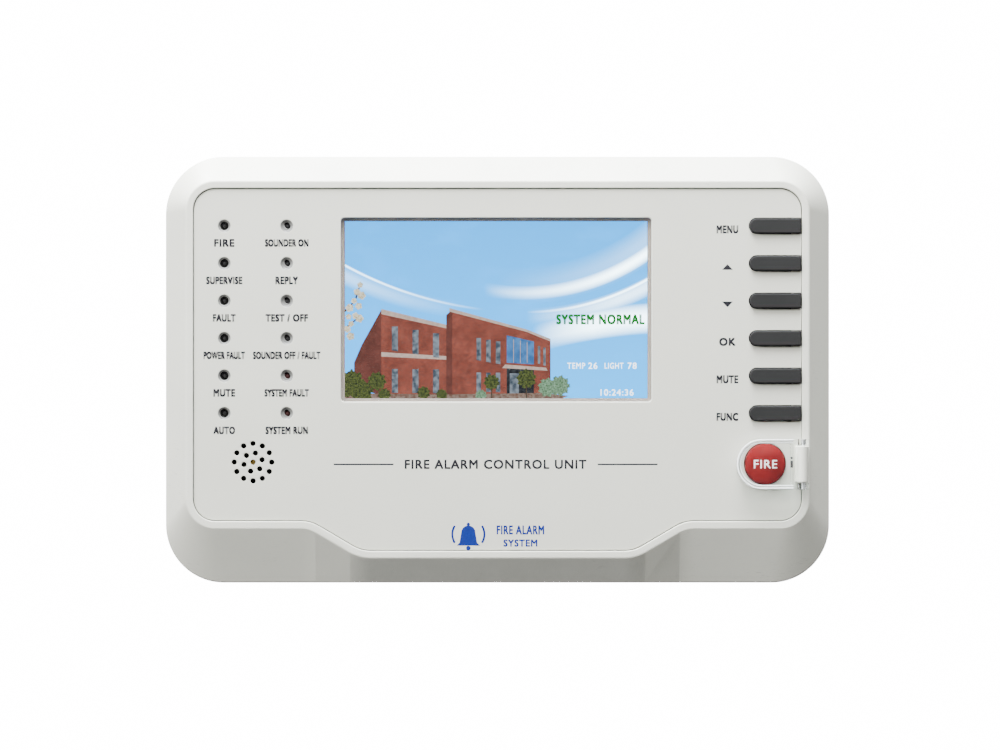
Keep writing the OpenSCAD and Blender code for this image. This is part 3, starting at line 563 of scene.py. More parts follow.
lens_dark = plastic("lens_dark", (0.021, 0.021, 0.021), rough=0.5, depth=0.002, shine=0.15)
lens_red = plastic("lens_red", (0.050, 0.018, 0.017), rough=0.5, depth=0.002, shine=0.15)
near_black_diaphragm = plastic("near_black_diaphragm", (0.012, 0.012, 0.013), rough=0.7, grain=0.6, depth=0.03)
brass = metal("brass", (0.80, 0.52, 0.16))
steel = metal("steel", (0.62, 0.62, 0.63), rough=0.28)
pin_steel = metal("pin_steel", (0.86, 0.86, 0.86), rough=0.45, brushed=(1, 1, 1), tarnish=0.1)
sheet_steel = metal("sheet_steel", (0.66, 0.66, 0.64), rough=0.36, brushed=(1, 1, 6), tarnish=0.35)
grey_ink = ink("grey_ink", (0.012, 0.012, 0.016))
blue_ink = ink("blue_ink", (0.004, 0.017, 0.175))
white_ink = ink("white_ink", (0.86, 0.84, 0.84))


# ---- Door: cover ----

cover = span("front_cover")
panel = span("face_panel")
PANEL_GAP = 0.25
SEAM = 0.45
# Fit and depth of the dark grey strip in the seam round the panel, which is painted shade
SHADE_STRIP_FIT = 0.03
COVER_R = 28
BORDER = 12
LIP = 3.4
WALL = 3
FLANGE_W = 10
FLANGE_T = 2.5
LEDGE = 4
LEDGE_T = 2.2
SHADE_STRIP_DEPTH = 0.8
PANEL_R = 10.6
DIP = 14.3
DIP_R = 17.5
DIP_INNER_X = 60.7
DIP_OUTER_X = 94.5
PANEL_TOP = panel.z[1] + PANEL_GAP
PANEL_LOW = panel.z[0] - PANEL_GAP + DIP
PANEL_HALF = panel.x[1] + PANEL_GAP
CORNER_STEPS = 24
DIP_STEPS = 12


def slope_angle():
    """Angle of the slope between the dip's two curves: their common tangent."""
    run, gap = DIP_OUTER_X - DIP_INNER_X, 2 * DIP_R - DIP
    return math.degrees(math.atan2(run, gap) - math.acos(2 * DIP_R / math.hypot(run, gap)))


def dip_curves(distance, side):
    """The dip on one side, at a distance outside the opening, clockwise as seen from the front."""
    angle = side * slope_angle()
    upper = arc((side * DIP_OUTER_X, PANEL_LOW - DIP_R), DIP_R - distance, 90, 90 + angle, DIP_STEPS)
    lower = arc((side * DIP_INNER_X, PANEL_LOW - DIP + DIP_R), DIP_R + distance, angle - 90, -90, DIP_STEPS)
    return upper + lower if side > 0 else lower[::-1] + upper[::-1]


def round_corners(x, top, low, radius, bottom):
    """Four round corners, clockwise from the top right one, with the bottom edge's points halfway."""
    corners = [arc(at, radius, start, start - 90, CORNER_STEPS)
               for *at, start in ((x, top, 90), (x, low, 0), (-x, low, -90), (-x, top, 180))]
    return corners[0] + corners[1] + bottom + corners[2] + corners[3]


def opening_ring(distance):
    """The cover's opening, moved outwards by a distance, clockwise from its top right corner."""
    return round_corners(PANEL_HALF - PANEL_R, PANEL_TOP - PANEL_R, PANEL_LOW + PANEL_R, PANEL_R + distance,
                         dip_curves(distance, 1) + dip_curves(distance, -1))


def outer_ring(distance):
    """The cover's outer outline, moved inwards, with as many points as the opening's ring."""
    x, z = cover.x[1] - COVER_R, cover.z[1] - COVER_R
    bottom = [(p[0], cover.z[0] + distance) for side in (1, -1) for p in dip_curves(LIP, side)]
    return round_corners(x, z, -z, COVER_R - distance, bottom)


def fillet(before, corner, after, radius, steps=4):
    """The points that round a corner between two straight stretches."""
    ways = [before - corner, after - corner]
    cut = min([radius / math.tan(ways[0].angle(ways[1]) / 2)] + [0.46 * way.length for way in ways])
    start, end = (corner + way.normalized() * cut for way in ways)
    return [start.lerp(corner, t).lerp(corner.lerp(end, t), t) for t in (i / steps for i in range(steps + 1))]


def make_cover():
    """The cover's sloped border, lip, walls, flange and ledge as one skin, and a dark grey strip round the
    panel that is painted shade in the seam.
    """
    front, back = cover.y
    shoulder, ledge_back = front + BORDER, panel.y[1] + LEDGE_T
    # Each corner of the skin's section: its outline, that outline's distance, its level and its rounding
    stations = (
        (opening_ring, 0, front, 0.5), (opening_ring, LIP, front, 1.6), (outer_ring, 0, shoulder, 1.4),
        (outer_ring, 0, back, 0.5), (outer_ring, FLANGE_W, back, 0.4),
        (outer_ring, FLANGE_W, back - FLANGE_T, 0.4), (outer_ring, WALL, back - FLANGE_T, 1.5),
        (outer_ring, WALL, shoulder + 2, 2.5), (opening_ring, LIP - 1, ledge_back - 0.5, 2.0),
        (opening_ring, -LEDGE, ledge_back, 0.5), (opening_ring, -LEDGE, panel.y[1], 0.3),
        (opening_ring, 0, panel.y[1], 0.2))
    sections = []
    for places in zip(*(at_y(outline(distance), y) for outline, distance, y, _ in stations)):
        corners = [Vector(p) for p in places]
        section = []
        for k, station in enumerate(stations):
            section += fillet(corners[k - 1], corners[k], corners[(k + 1) % len(corners)], station[3])
        sections.append([tuple(p) for p in section])
    shape = Shape()
    shape.loops(sections, white_plastic, closed=True)
    shape.piece("front_cover_shell", "door", "white_plastic", ["front_cover"])
    # A dark grey strip in the gap round the panel: painted shade that darkens the seam
    shape = Shape()
    shade_strip_y = panel.y[0] + SHADE_STRIP_DEPTH
    outer, inner = opening_ring(SHADE_STRIP_FIT), opening_ring(SHADE_STRIP_FIT - SEAM)
    levels = ((outer, shade_strip_y), (inner, shade_strip_y), (inner, panel.y[1]), (outer, panel.y[1]))
    shape.loops([at_y(loop, y) for loop, y in levels], socket_grey, closed=True)
    shape.piece("seam_painted_shade", "door", "white_plastic")


# ---- Door: face panel ----

leds = span("indicator_leds")
LED_RIM = 1.9
LED_COLUMNS = inset(leds.x, LED_RIM)
LED_HOLE_R = 2.1
LED_SINK = 1.0
KEYS = ("menu_key", "up_key", "down_key", "confirm_key", "mute_key", "function_key")
ROW_Z = [middle(span(key).z) for key in KEYS]
key_box = span("menu_key")
KEY_FLANGE = 1.5
KEY_X = key_box.x[0] + KEY_FLANGE
KEY_R = width(key_box.z) / 2 - KEY_FLANGE
KEY_GAP = 0.35
window = span("screen_window")
WINDOW_GAP = 0.05
WINDOW_R = 1.7
sounder = span("sounder_case")
SOUNDER = centre(sounder)
GRILLE_R = 9
GRILLE_HOLE = 1.3
button = span("alarm_button")
BUTTON = centre(button)
BUTTON_R = 9.7
BUTTON_GAP = 0.4


def key_slot(z):
    """The edge of a key's slot, from the panel's right edge round the key's left end and back."""
    grown = KEY_R + KEY_GAP
    return [(panel.x[1], z + grown)] + arc((KEY_X + KEY_R, z), grown, 90, 270, 20) + [(panel.x[1], z - grown)]


def make_face_panel():
    """The flat panel with its window, sockets, key slots, grille and button hole."""
    loop = opening_ring(-SEAM)
    corner = CORNER_STEPS + 1
    slots = [point for z in ROW_Z for point in key_slot(z)]
    sink = [(LED_SINK + g, d) for g, d in round_rim(0.12, 2)] + [(0.05, LED_SINK), (0, LED_SINK + 0.1)]
    holes = [(outline_of(window, -WINDOW_GAP, WINDOW_R), round_rim(0.45))]
    holes += [(ring((x, z), LED_HOLE_R, 32), sink) for x in LED_COLUMNS for z in ROW_Z]
    grille = [SOUNDER] + ring(SOUNDER, GRILLE_R, 12) + arc(SOUNDER, GRILLE_R / 2, 15, 315, 5)
    holes += [(ring(at, GRILLE_HOLE, 24), round_rim(0.15, 2)) for at in grille]
    holes.append((ring(BUTTON, BUTTON_R + BUTTON_GAP, 64), round_rim(0.3)))
    shape = Shape()
    shape.plate(loop[:corner] + slots + loop[corner:], panel.y, panel_plastic, holes, rim=0.25)
    shape.piece("face_panel_sheet", "door", "panel_plastic", ["face_panel"])


# ---- Door: printing ----

LABELS = (("FIRE", "SUPERVISE", "FAULT", "POWER FAULT", "MUTE", "AUTO"),
          ("SOUNDER ON", "REPLY", "TEST / OFF", "SOUNDER OFF / FAULT", "SYSTEM FAULT", "SYSTEM RUN"))
LABEL_WIDTHS = ((10, 17, 10.5, 19.5, 10, 10), (20.5, 10.5, 20, 32, 21, 20))
LABEL_DROP = 8.2
LABEL_TALL = 3.3
LABEL_BOLD = 0.22
KEY_LABELS = ("MENU", None, None, "OK", "MUTE", "FUNC")
KEY_LABEL_X = 110.4
KEY_LABEL_TALL = 3.5
KEY_LABEL_WIDTH = 10
KEY_LABEL_DROP = 1.7
ARROW = (2.6, 1.35)
PRINT_Y = panel.y[0] - 0.005
TITLE = (-0.9, -45.4)
RULE_X = (49, 77.8)
BELL = (-14, -79.6)


def make_bell(shape):
    """A plain bell in outline, with a clapper, a knob and a sound line on each side."""
    x, z = BELL
    foot = [(x - 4.2, z - 3.4), (x - 5.6, z - 4.8), (x + 5.6, z - 4.8), (x + 4.2, z - 3.4)]
    parts = [arc((x, z + 1.4), 3.4, 0, 180, 16) + foot]
    parts += [ring((x, z + up), radius, 16) for up, radius in ((-6.0, 1.1), (5.4, 0.8))]
    for start, end in ((-32, 32), (148, 212)):
        parts.append(arc((x, z + 0.6), 8.2, start, end, 10) + arc((x, z + 0.6), 7.2, end, start, 10))
    for part in parts:
        shape.stamp(part, PRINT_Y, blue_ink)


def make_printing():
    """Printed labels in plain capitals, the rules beside the title, and a plain bell sign."""
    shape = Shape()
    for x, column, widths in zip(LED_COLUMNS, LABELS, LABEL_WIDTHS):
        for z, label, most in zip(ROW_Z, column, widths):
            shape.words(label, (x, z - LABEL_DROP), LABEL_TALL, most, PRINT_Y, grey_ink, LABEL_BOLD)
    for z, label in zip(ROW_Z, KEY_LABELS):
        if label:
            shape.words(label, (KEY_LABEL_X, z - KEY_LABEL_DROP), KEY_LABEL_TALL, KEY_LABEL_WIDTH, PRINT_Y,
                        grey_ink, LABEL_BOLD)
    for z, up in ((ROW_Z[1], ARROW[1]), (ROW_Z[2], -ARROW[1])):
        z -= KEY_LABEL_DROP
        arrow = [(KEY_LABEL_X - ARROW[0], z - up), (KEY_LABEL_X + ARROW[0], z - up), (KEY_LABEL_X, z + up)]
        shape.stamp(arrow, PRINT_Y, grey_ink)
    for side in (-1, 1):
        rule = sorted(TITLE[0] + side * x for x in RULE_X)
        shape.stamp(rectangle(rule, about(TITLE[1], 0.35)), PRINT_Y, grey_ink)
    shape.words("FIRE ALARM CONTROL UNIT", TITLE, 4.2, 87, PRINT_Y, grey_ink, 0.17)
    make_bell(shape)
    shape.words("FIRE ALARM", (11, -76.9), 4.0, 22.5, PRINT_Y, blue_ink, 0.16)
    shape.words("SYSTEM", (11, -83.2), 3.2, 16, PRINT_Y, blue_ink, 0.14)
    shape.piece("panel_printing", "door", "panel_plastic")


# ---- Door: keys, indicators, sounder and alarm button ----

KEY_RIM = 0.5
KEY_CORNER = 0.7
BEHIND_PANEL = panel.y[1] + 0.3
spacers = span("led_spacers")
SPACER_R = 2.8
LAMP_R = 1.5
LAMP_LEAN = 2.5
RED_ROWS = 4
TUBE_FIT = (0.1, 0.45)
COLLAR_DEPTH = 1.15
COLLAR_T = 0.25
COLLAR_OVAL = (1.3, 1.7)
COLLAR_SHIFT = (0.25, 0.18)
COLLAR_SLANT = math.radians(35)
BOWL = ((2.98, 0.10), (2.04, 1.0), (2.07, 1.06), (3.04, 0.16))


def key_outline(z, right):
    """A key seen from the front: a round left end and small corners at its right end."""
    x, reach = right - KEY_CORNER, KEY_R - KEY_CORNER
    return (arc((KEY_X + KEY_R, z), KEY_R, 90, 270, 20) + arc((x, z - reach), KEY_CORNER, -90, 0, 4)
            + arc((x, z + reach), KEY_CORNER, 0, 90, 4))


def make_key(node, z):
    """A key's cap in its slot, and the flange behind the panel that keeps it in."""
    shape = Shape()
    front, back = key_box.y
    tail = panel.y[1] - 1.6
    flange_x = PANEL_HALF - LEDGE - 1
    shape.plate(key_outline(z, span(node).x[1]), [front, tail], key_grey, rim=KEY_RIM, back_rim=0.1)
    shape.plate(key_outline(z, flange_x), [tail - 0.1, BEHIND_PANEL], key_grey, rim=0.05)
    shape.block([key_box.x[0], flange_x], [BEHIND_PANEL, back], about(z, KEY_R + KEY_FLANGE), key_grey)
    shape.piece(node + "_cap", node, "key_grey", [node])


def make_lamp(shape, x, z, lean, lens):
    """One round-ended indicator standing on its board, leaning by a few degrees."""
    tip, foot = leds.y
    lamp = Shape()
    rim = [(LAMP_R, foot - 1), (LED_RIM, foot - 1), (LED_RIM, foot)]
    lamp.lathe("y", (0, 0), dome(LAMP_R, tip, LAMP_R) + rim, lens, 24)
    tilt = Matrix.Rotation(math.radians(lean), 3, Vector((1, 0, 0.8)).normalized())
    pivot = Vector((0, foot - 1, 0))
    moved = [tilt @ (Vector(p) - pivot) + pivot + Vector((x, 0, z)) for p in lamp.points]
    shape.add([(p.x, min(p.y, foot), p.z) for p in moved], lamp.faces, lens)


def make_indicators():
    """Two columns of indicators in black spacers; the second column leans a little behind grey collars."""
    lamps, holders = Shape(), Shape()
    front, back = spacers.y
    collar_y = panel.y[0] + COLLAR_DEPTH
    slant = complex(math.cos(COLLAR_SLANT), math.sin(COLLAR_SLANT))
    oval = [complex(COLLAR_OVAL[0] * u, COLLAR_OVAL[1] * v) * slant for u, v in ring((0, 0), 1, 32)]
    for column, x in enumerate(LED_COLUMNS):
        for row, z in enumerate(ROW_Z):
            make_lamp(lamps, x, z, LAMP_LEAN * column, lens_red if column and row >= RED_ROWS else lens_dark)
            inside = LAMP_R + TUBE_FIT[column]
            tube = ((SPACER_R, front), (SPACER_R, back), (inside, back), (inside, front))
            holders.lathe("y", (x, z), tube, black_plastic, 32, closed=True)
            bowl = [(r, panel.y[0] + d) for r, d in BOWL]
            holders.lathe("y", (x, z), bowl, socket_grey, 40, closed=True)
            if column:
                inner = [(x + COLLAR_SHIFT[0] + c.real, z + COLLAR_SHIFT[1] + c.imag) for c in oval]
                holders.plate(ring((x, z), LED_HOLE_R - 0.02, 32), [collar_y, collar_y + COLLAR_T],
                              socket_grey, [(inner, round_rim(0.1, 2))], rim=0.05)
    lamps.piece("indicator_lamps", "door", "led", ["indicator_leds"])
    holders.piece("indicator_spacers", "door", "black_plastic", ["led_spacers"], bevel=0.15)


RING_STEPS = 24
RING_RISE = 0.42
RING_WAVE = 0.14


def make_sounder():
    """The sounder's near-black diaphragm with pressed rings, which keeps the grille holes dark, and a brass
    dome at its centre.
    """
    disc = span("sounder_disc")
    radius, back = width(disc.x) / 2, disc.y[1]
    shape = Shape()
    shares = [0.2 + 0.8 * i / RING_STEPS for i in range(RING_STEPS + 1)]
    rings = [(radius * share, back - RING_RISE + RING_WAVE * math.cos(18 * share)) for share in shares]
    shape.lathe("y", SOUNDER, rings + [(radius, back), (1, back)], near_black_diaphragm, 64)
    shape.lathe("y", SOUNDER, dome(2.0, disc.y[0], 1.4) + [(2.2, back - 0.3)], brass, 32)
    shape.piece("sounder_diaphragm", "door", "brass", ["sounder_disc"])


BUTTON_EDGE_Y = panel.y[0] - 3.5
BUTTON_EDGE = 0.5
STEM_R = 4
DOME = BUTTON_EDGE_Y - button.y[0]
DOME_R = (BUTTON_R ** 2 + DOME ** 2) / (2 * DOME)


def dome_y(x, z):
    """The button's domed face."""
    out = min(math.hypot(x - BUTTON[0], z - BUTTON[1]), BUTTON_R)
    return button.y[0] + DOME_R - math.sqrt(DOME_R ** 2 - out ** 2)


def make_button():
    """The red domed button with its stem, and plain white letters on its face."""
    shape = Shape()
    profile = [(r, dome_y(BUTTON[0] + r, BUTTON[1])) for r in (BUTTON_R * i / 16 for i in range(16))]
    profile += [(BUTTON_R - 0.12, BUTTON_EDGE_Y + 0.02), (BUTTON_R, BUTTON_EDGE_Y + BUTTON_EDGE)]
    flange = BUTTON_R + 1.3
    profile += [(BUTTON_R, BEHIND_PANEL), (flange, BEHIND_PANEL), (flange, BEHIND_PANEL + 1.5)]
    profile += [(STEM_R, BEHIND_PANEL + 1.5), (STEM_R, button.y[1] - 0.4), (STEM_R - 0.4, button.y[1])]
    shape.lathe("y", BUTTON, profile, alarm_red, 96)
    shape.words("FIRE", BUTTON, 3.9, 11.6, lambda x, z: dome_y(x, z) - 0.01, white_ink, 0.07, 0.06)
    shape.piece("alarm_button_cap", "alarm_button", "alarm_red", ["alarm_button"])


GUARD_R = 12
GUARD_WALL = 1.2
DARK_MARK_WIDTH = 1.1
DARK_MARK_HEIGHT = 3.4
DARK_MARK_DEPTH = 0.8


def make_guard_edges():
    """The clear guard's edges drawn as whitish beads, which are painted highlights, and thin grey lines,
    which are painted shade, with a small dark block and dot near its hinge.
    """
    guard = span("guard_cover")
    at = (guard.x[0] + GUARD_R, BUTTON[1])
    end = span("guard_block").x[0] - 1
    front, back = guard.y[0] + 0.5, guard.y[1]
    shape = Shape()
    # Each painted line: its distance inside the guard's outline, its radius, level and finish; the whitish
    # ones are painted highlights, the grey ones painted shade
    for depth, radius, y, material in (
            (0.45, 0.38, front, painted_edge_highlight), (GUARD_WALL + 0.02, 0.14, front + 0.8, painted_edge_shade),
            (1.75, 0.30, front + 0.9, painted_edge_highlight), (0.5, 0.32, back - 0.5, painted_edge_highlight),
            (0.12, 0.12, back - 0.2, painted_edge_shade)):
        reach = GUARD_R - depth
        route = [(end, at[1] + reach)] + arc(at, reach, 90, 270, 40) + [(end, at[1] - reach)]
        shape.tube(at_y(route, y), radius, material)
    dark_mark_y = [front + GUARD_WALL, front + GUARD_WALL + DARK_MARK_DEPTH]
    dark_mark = rectangle([end - 0.2 - DARK_MARK_WIDTH, end - 0.2], about(at[1], DARK_MARK_HEIGHT / 2), 0.3)
    shape.plate(dark_mark, dark_mark_y, black_plastic, rim=0.15)
    dot = [(0.4, dark_mark_y[0]), (0.55, dark_mark_y[0] + 0.15), (0.55, dark_mark_y[1])]
    shape.lathe("y", (end - 0.8, at[1] + 3.0), dot, black_plastic, 20)
    shape.piece("guard_painted_edges", "guard", "clear_plastic")


make_cover()
make_face_panel()
make_printing()
for key, row in zip(KEYS, ROW_Z):
    make_key(key, row)
make_indicators()
make_button()
make_sounder()
make_guard_edges()
dress("guard_cover", clear_plastic, bevel=0.5, steps=3)
dress("guard_block", white_plastic, bevel=0.5, steps=3)
dress("guard_pin", pin_steel, bevel=0.2)
dress("screen_window", window_plastic, bevel=0.25)
dress("sounder_case", black_plastic)

# ---- Screen picture: places are shares of its width and height ----

glass = span("screen_glass")
PICTURE_X = (-73.3, 72.0)
PICTURE_Z = (-13.6, 71.4)
PICTURE_Y = glass.y[0] - 0.05
LAYER = 0.03

# Each sweep of light: three places it passes through, where it fades out and where it is full, the width
# of its core and of its glow in millimetres, and its strength
SWEEPS = ((((0.45, 0.62), (0.80, 0.65), (1.0, 0.82)), (0.46, 0.90), 0.5, 3.6, 1.0),
          (((0.45, 0.66), (0.80, 0.70), (1.0, 0.88)), (0.50, 1.10), 2.0, 9, 0.14),
          (((0.66, 0.49), (0.80, 0.53), (1.0, 0.67)), (0.60, 0.85), 0.2, 1.0, 0.8),
          (((0.64, 0.46), (0.80, 0.50), (1.0, 0.63)), (0.60, 0.90), 0.8, 4.5, 0.45),
          (((0.0, 0.75), (0.20, 0.60), (0.42, 0.51)), (0.46, 0.10), 0.1, 0.8, 0.5),
          (((0.0, 0.69), (0.20, 0.56), (0.42, 0.49)), (0.40, 0.0), 0.8, 4.5, 0.16),
          (((0.60, 0.33), (0.80, 0.41), (1.0, 0.45)), (0.62, 0.82), 1.8, 7.5, 0.9))
SHRUBS = ((0.02, 0.08, 0.075), (0.055, 0.04, 0.06), (0.105, 0.095, 0.05), (0.13, 0.02, 0.035),
          (0.26, 0.03, 0.035), (0.32, 0.02, 0.03), (0.485, 0.09, 0.042), (0.60, 0.11, 0.052))
PALE_SHRUBS = ((0.67, 0.06, 0.05), (0.71, 0.07, 0.055), (0.45, 0.015, 0.03))
BLOSSOMS = ((0.05, 0.64), (0.04, 0.60), (0.055, 0.58), (0.03, 0.55), (0.045, 0.52), (0.015, 0.51),
            (0.012, 0.46), (0.035, 0.465), (0.048, 0.45), (0.02, 0.42), (0.008, 0.39), (0.018, 0.35))
# Each reading: its words, place, height, most width and boldness
READINGS = (("26", (0.82, 0.183), 3.0, 5, 0.06), ("78", (0.95, 0.183), 3.0, 5, 0.06),
            ("TEMP", (0.765, 0.183), 2.8, 8.5, 0.05), ("LIGHT", (0.890, 0.183), 2.8, 9, 0.05),
            ("10:24:36", (0.90, 0.032), 3.0, 17, 0.06))


def on_picture(u, v):
    return PICTURE_X[0] + u * width(PICTURE_X), PICTURE_Z[0] + v * width(PICTURE_Z)


def circle_through(points):
    """The middle and radius of the circle through three points."""
    first, second, third = (complex(*point) for point in points)
    side = second - first
    share = (third - first) / side
    pivot = first + side * (share - abs(share) ** 2) / (2j * share.imag)
    return pivot.real, pivot.imag, abs(first - pivot)


def sky_picture():
    """A light blue sky, paler towards the ground, crossed by soft bright sweeps."""
    tree = blank("sky_picture")
    right = tree.between(tree.parts[0], 0, 1, *PICTURE_X)
    sky = tree.mixed(tree.between(tree.parts[2], 0, 1, *PICTURE_Z), (0.0, 1.32, 3.4), (0.0, 1.0, 2.75))
    sky = tree.mixed(tree.between(tree.noise(24, 4, (1, 1, 2.4)), 0, 0.3, 0.52, 0.78), sky, (0.05, 1.5, 4.2))
    strength = 0
    for places, fade, core, spread, power in SWEEPS:
        x, z, radius = circle_through([on_picture(*place) for place in places])
        offset = tree.maths("SUBTRACT", tree.where, (x, 0, z), kind="VectorMath")
        flat = tree.maths("MULTIPLY", offset, (1, 0, 1), kind="VectorMath")
        far = tree.add("VectorMath", {0: flat}, operation="LENGTH").outputs["Value"]
        away = tree.maths("ABSOLUTE", tree.maths("SUBTRACT", far, radius))
        shine, full = tree.between(away, power, 0, core, spread), tree.between(right, 0, 1, *fade)
        strength = tree.maths("MAXIMUM", strength, tree.maths("MULTIPLY", shine, full))
    return tree.lit(tree.mixed(strength, sky, (6.5, 8.5, 9.5)))


def brick_picture(name, *colours):
    """A lit picture of brickwork."""
    tree = blank(name)
    strength = tree.between(tree.noise(6, 4), 0.75, 1.25)
    return tree.lit(tree.bricks((0, 2), colours, joint=0.035, brick=1.1, row=0.55), strength)


def make_screen():
    """The lit picture: a sky with bright sweeps, a brick building, shrubs and plain status text."""
    shape = Shape()

    def patch(points, layer, material):
        loop = at_y([on_picture(u, v) for u, v in points], PICTURE_Y - layer * LAYER)
        flat = [[Vector((p[0], p[2], 0)) for p in loop]]
        shape.add(loop, [tuple(f) for f in geometry.tessellate_polygon(flat)], material)

    def wall(sides, low, top, layer, material):
        """A patch with upright sides, and with its lower and upper edges' heights at them."""
        (left, right), (low, low_right), (top, top_right) = sides, low, top
        patch([(left, low), (right, low_right), (right, top_right), (left, top)], layer, material)

    def row(u, v, count, step, size, slope, layer, material):
        """A row of windows that follows a wall's slope."""
        for i in range(count):
            left, low, top = u + i * step, v + i * step * slope, v + i * step * slope + size[1]
            wall((left, left + size[0]), (low, low + size[0] * slope), (top, top), layer, material)

    def clump(u, v, radius, layer, material, lobes=9, seed=0.0):
        """A rounded shrub or tree crown with an uneven edge."""
        squeeze = width(PICTURE_Z) / width(PICTURE_X)
        points = []
        for a in (math.tau * i / 72 for i in range(72)):
            uneven = 0.10 * math.sin(lobes * a + seed) + 0.06 * math.sin((2 * lobes + 3) * a + 2.1 * seed)
            reach = radius * (1 + uneven)
            points.append((u + reach * math.cos(a) * squeeze, v + reach * math.sin(a)))
        patch(points, layer, material)

    wall((0, 1), (0, 0), (1, 1), 0, sky_picture())
    brick = brick_picture("brick_lit", (0.40, 0.080, 0.048), (0.25, 0.052, 0.034), (0.50, 0.24, 0.19))
    brick_dark = brick_picture("brick_shade", (0.22, 0.06, 0.045), (0.15, 0.04, 0.03), (0.25, 0.12, 0.10))
    stone = glow("stone_band", (0.75, 0.55, 0.48), (0.9, 0.72, 0.62), 2)
    pane = glow("window_pane", (0.07, 0.10, 0.14), (0.35, 0.42, 0.50), 2.5, 2)
    blue_pane = glow("blue_pane", (0.05, 0.20, 0.55), (0.11, 0.36, 0.85), 3, 2)
    shadow = glow("doorway", (0.010, 0.013, 0.02), (0.05, 0.06, 0.07), 2)
    leaf = glow("leaves", (0.02, 0.035, 0.012), (0.16, 0.20, 0.05), 0.9, 5)
    leaf_light = glow("light_leaves", (0.10, 0.22, 0.10), (0.35, 0.62, 0.40), 0.9, 5)
    flower = glow("blossom", (0.75, 0.65, 0.40), (1.6, 1.5, 1.2), 0.8, 4)
    twig = glow("twig", (0.06, 0.045, 0.03), (0.14, 0.10, 0.07), 0.7)
    green = glow("green_words", (0.003, 0.30, 0.02), (0.005, 0.38, 0.03), 1)
    white = glow("white_words", (3.2, 3.6, 4.0), (4.2, 4.4, 4.6), 1)
    ground = glow("paving", (0.22, 0.12, 0.09), (0.40, 0.30, 0.24), 1.6)

    # Left wing, drawn as two walls that meet at a corner
    patch([(0.03, 0.05), (0.12, 0.02), (0.12, 0.50), (0.055, 0.30), (0.03, 0.20)], 1, brick_dark)
    wing = (0.12, 0.36)
    wall(wing, (0, 0), (0.49, 0.40), 1, brick)
    wall(wing, (0.475, 0.385), (0.505, 0.405), 2, stone)
    wall(wing, (0.235, 0.215), (0.26, 0.235), 2, stone)
    row(0.155, 0.27, 3, 0.068, (0.020, 0.135), -0.28, 3, pane)
    row(0.155, 0.03, 3, 0.068, (0.020, 0.135), -0.02, 3, pane)
    # Main block with a glazed front over the entrance
    patch([(0.345, 0.0), (0.68, 0.0), (0.68, 0.33), (0.60, 0.385), (0.50, 0.43), (0.345, 0.50)], 4, brick)
    wall((0.335, 0.355), (0, 0), (0.47, 0.50), 4, brick_dark)
    patch([(0.345, 0.49), (0.50, 0.42), (0.60, 0.375), (0.68, 0.32),
           (0.68, 0.335), (0.60, 0.39), (0.50, 0.437), (0.345, 0.51)], 5, stone)
    row(0.435, 0.215, 3, 0.032, (0.015, 0.125), -0.30, 5, pane)
    row(0.435, 0.035, 3, 0.032, (0.015, 0.11), -0.02, 5, pane)
    front = (0.535, 0.625)
    wall(front, (0.20, 0.19), (0.355, 0.32), 5, blue_pane)
    for share in (0.25, 0.5, 0.75):
        top = 0.34 - 0.03 * share
        wall(about(front[0] + width(front) * share, 0.001), (0.20, 0.20), (top, top), 6, stone)
    row(0.638, 0.195, 2, 0.018, (0.008, 0.10), -0.5, 5, pane)
    wall(front, (0.02, 0.02), (0.17, 0.165), 5, shadow)
    patch([(0.52, 0.17), (0.67, 0.155), (0.665, 0.172), (0.53, 0.19)], 6, stone)
    wall((0.545, 0.575), (0.02, 0.02), (0.14, 0.14), 6, pane)
    patch([(0, 0), (0.72, 0), (0.74, 0.012), (0.66, 0.03), (0.3, 0.02), (0, 0.03)], 7, ground)
    for places, material in ((SHRUBS, leaf), (PALE_SHRUBS, leaf_light)):
        for u, v, radius in places:
            clump(u, v, radius, 8, material, seed=20 * u)
    for u in (0.485, 0.60):
        wall(about(u, 0.002), (0, 0), (0.07, 0.07), 8, twig)
    # A flowering twig at the left edge
    patch([(0, 0.50), (0.03, 0.55), (0.048, 0.64), (0.052, 0.64), (0.036, 0.55), (0.0, 0.485)], 8, twig)
    patch([(0, 0.40), (0.045, 0.46), (0.047, 0.455), (0.0, 0.385)], 8, twig)
    for i, (u, v) in enumerate(BLOSSOMS):
        clump(u, v, 0.016 + 0.003 * (i % 3), 9, flower, lobes=5, seed=i)
    words_y = PICTURE_Y - 10 * LAYER
    shape.words("SYSTEM NORMAL", on_picture(0.845, 0.445), 4.4, 42, words_y, green, 0.26, 0.02)
    for text, place, height, most, bold in READINGS:
        shape.words(text, on_picture(*place), height, most, words_y, white, bold, 0.02)
    shape.piece("screen_picture", "door", "screen", solid=False)
    edge = Shape()
    hole = rectangle(inset(PICTURE_X, -0.1), inset(PICTURE_Z, -0.1))
    edge.plate(outline_of(glass), [PICTURE_Y - 0.45, glass.y[0] - 0.02],
               plastic("screen_edge", (0.22, 0.185, 0.16), rough=0.4, grain=0.2, depth=0.004),
               [(hole, round_rim(0.1, 2))], rim=0.05)
    edge.piece("screen_edge", "door", "screen")


make_screen()

# ---- Inside: finishes ----


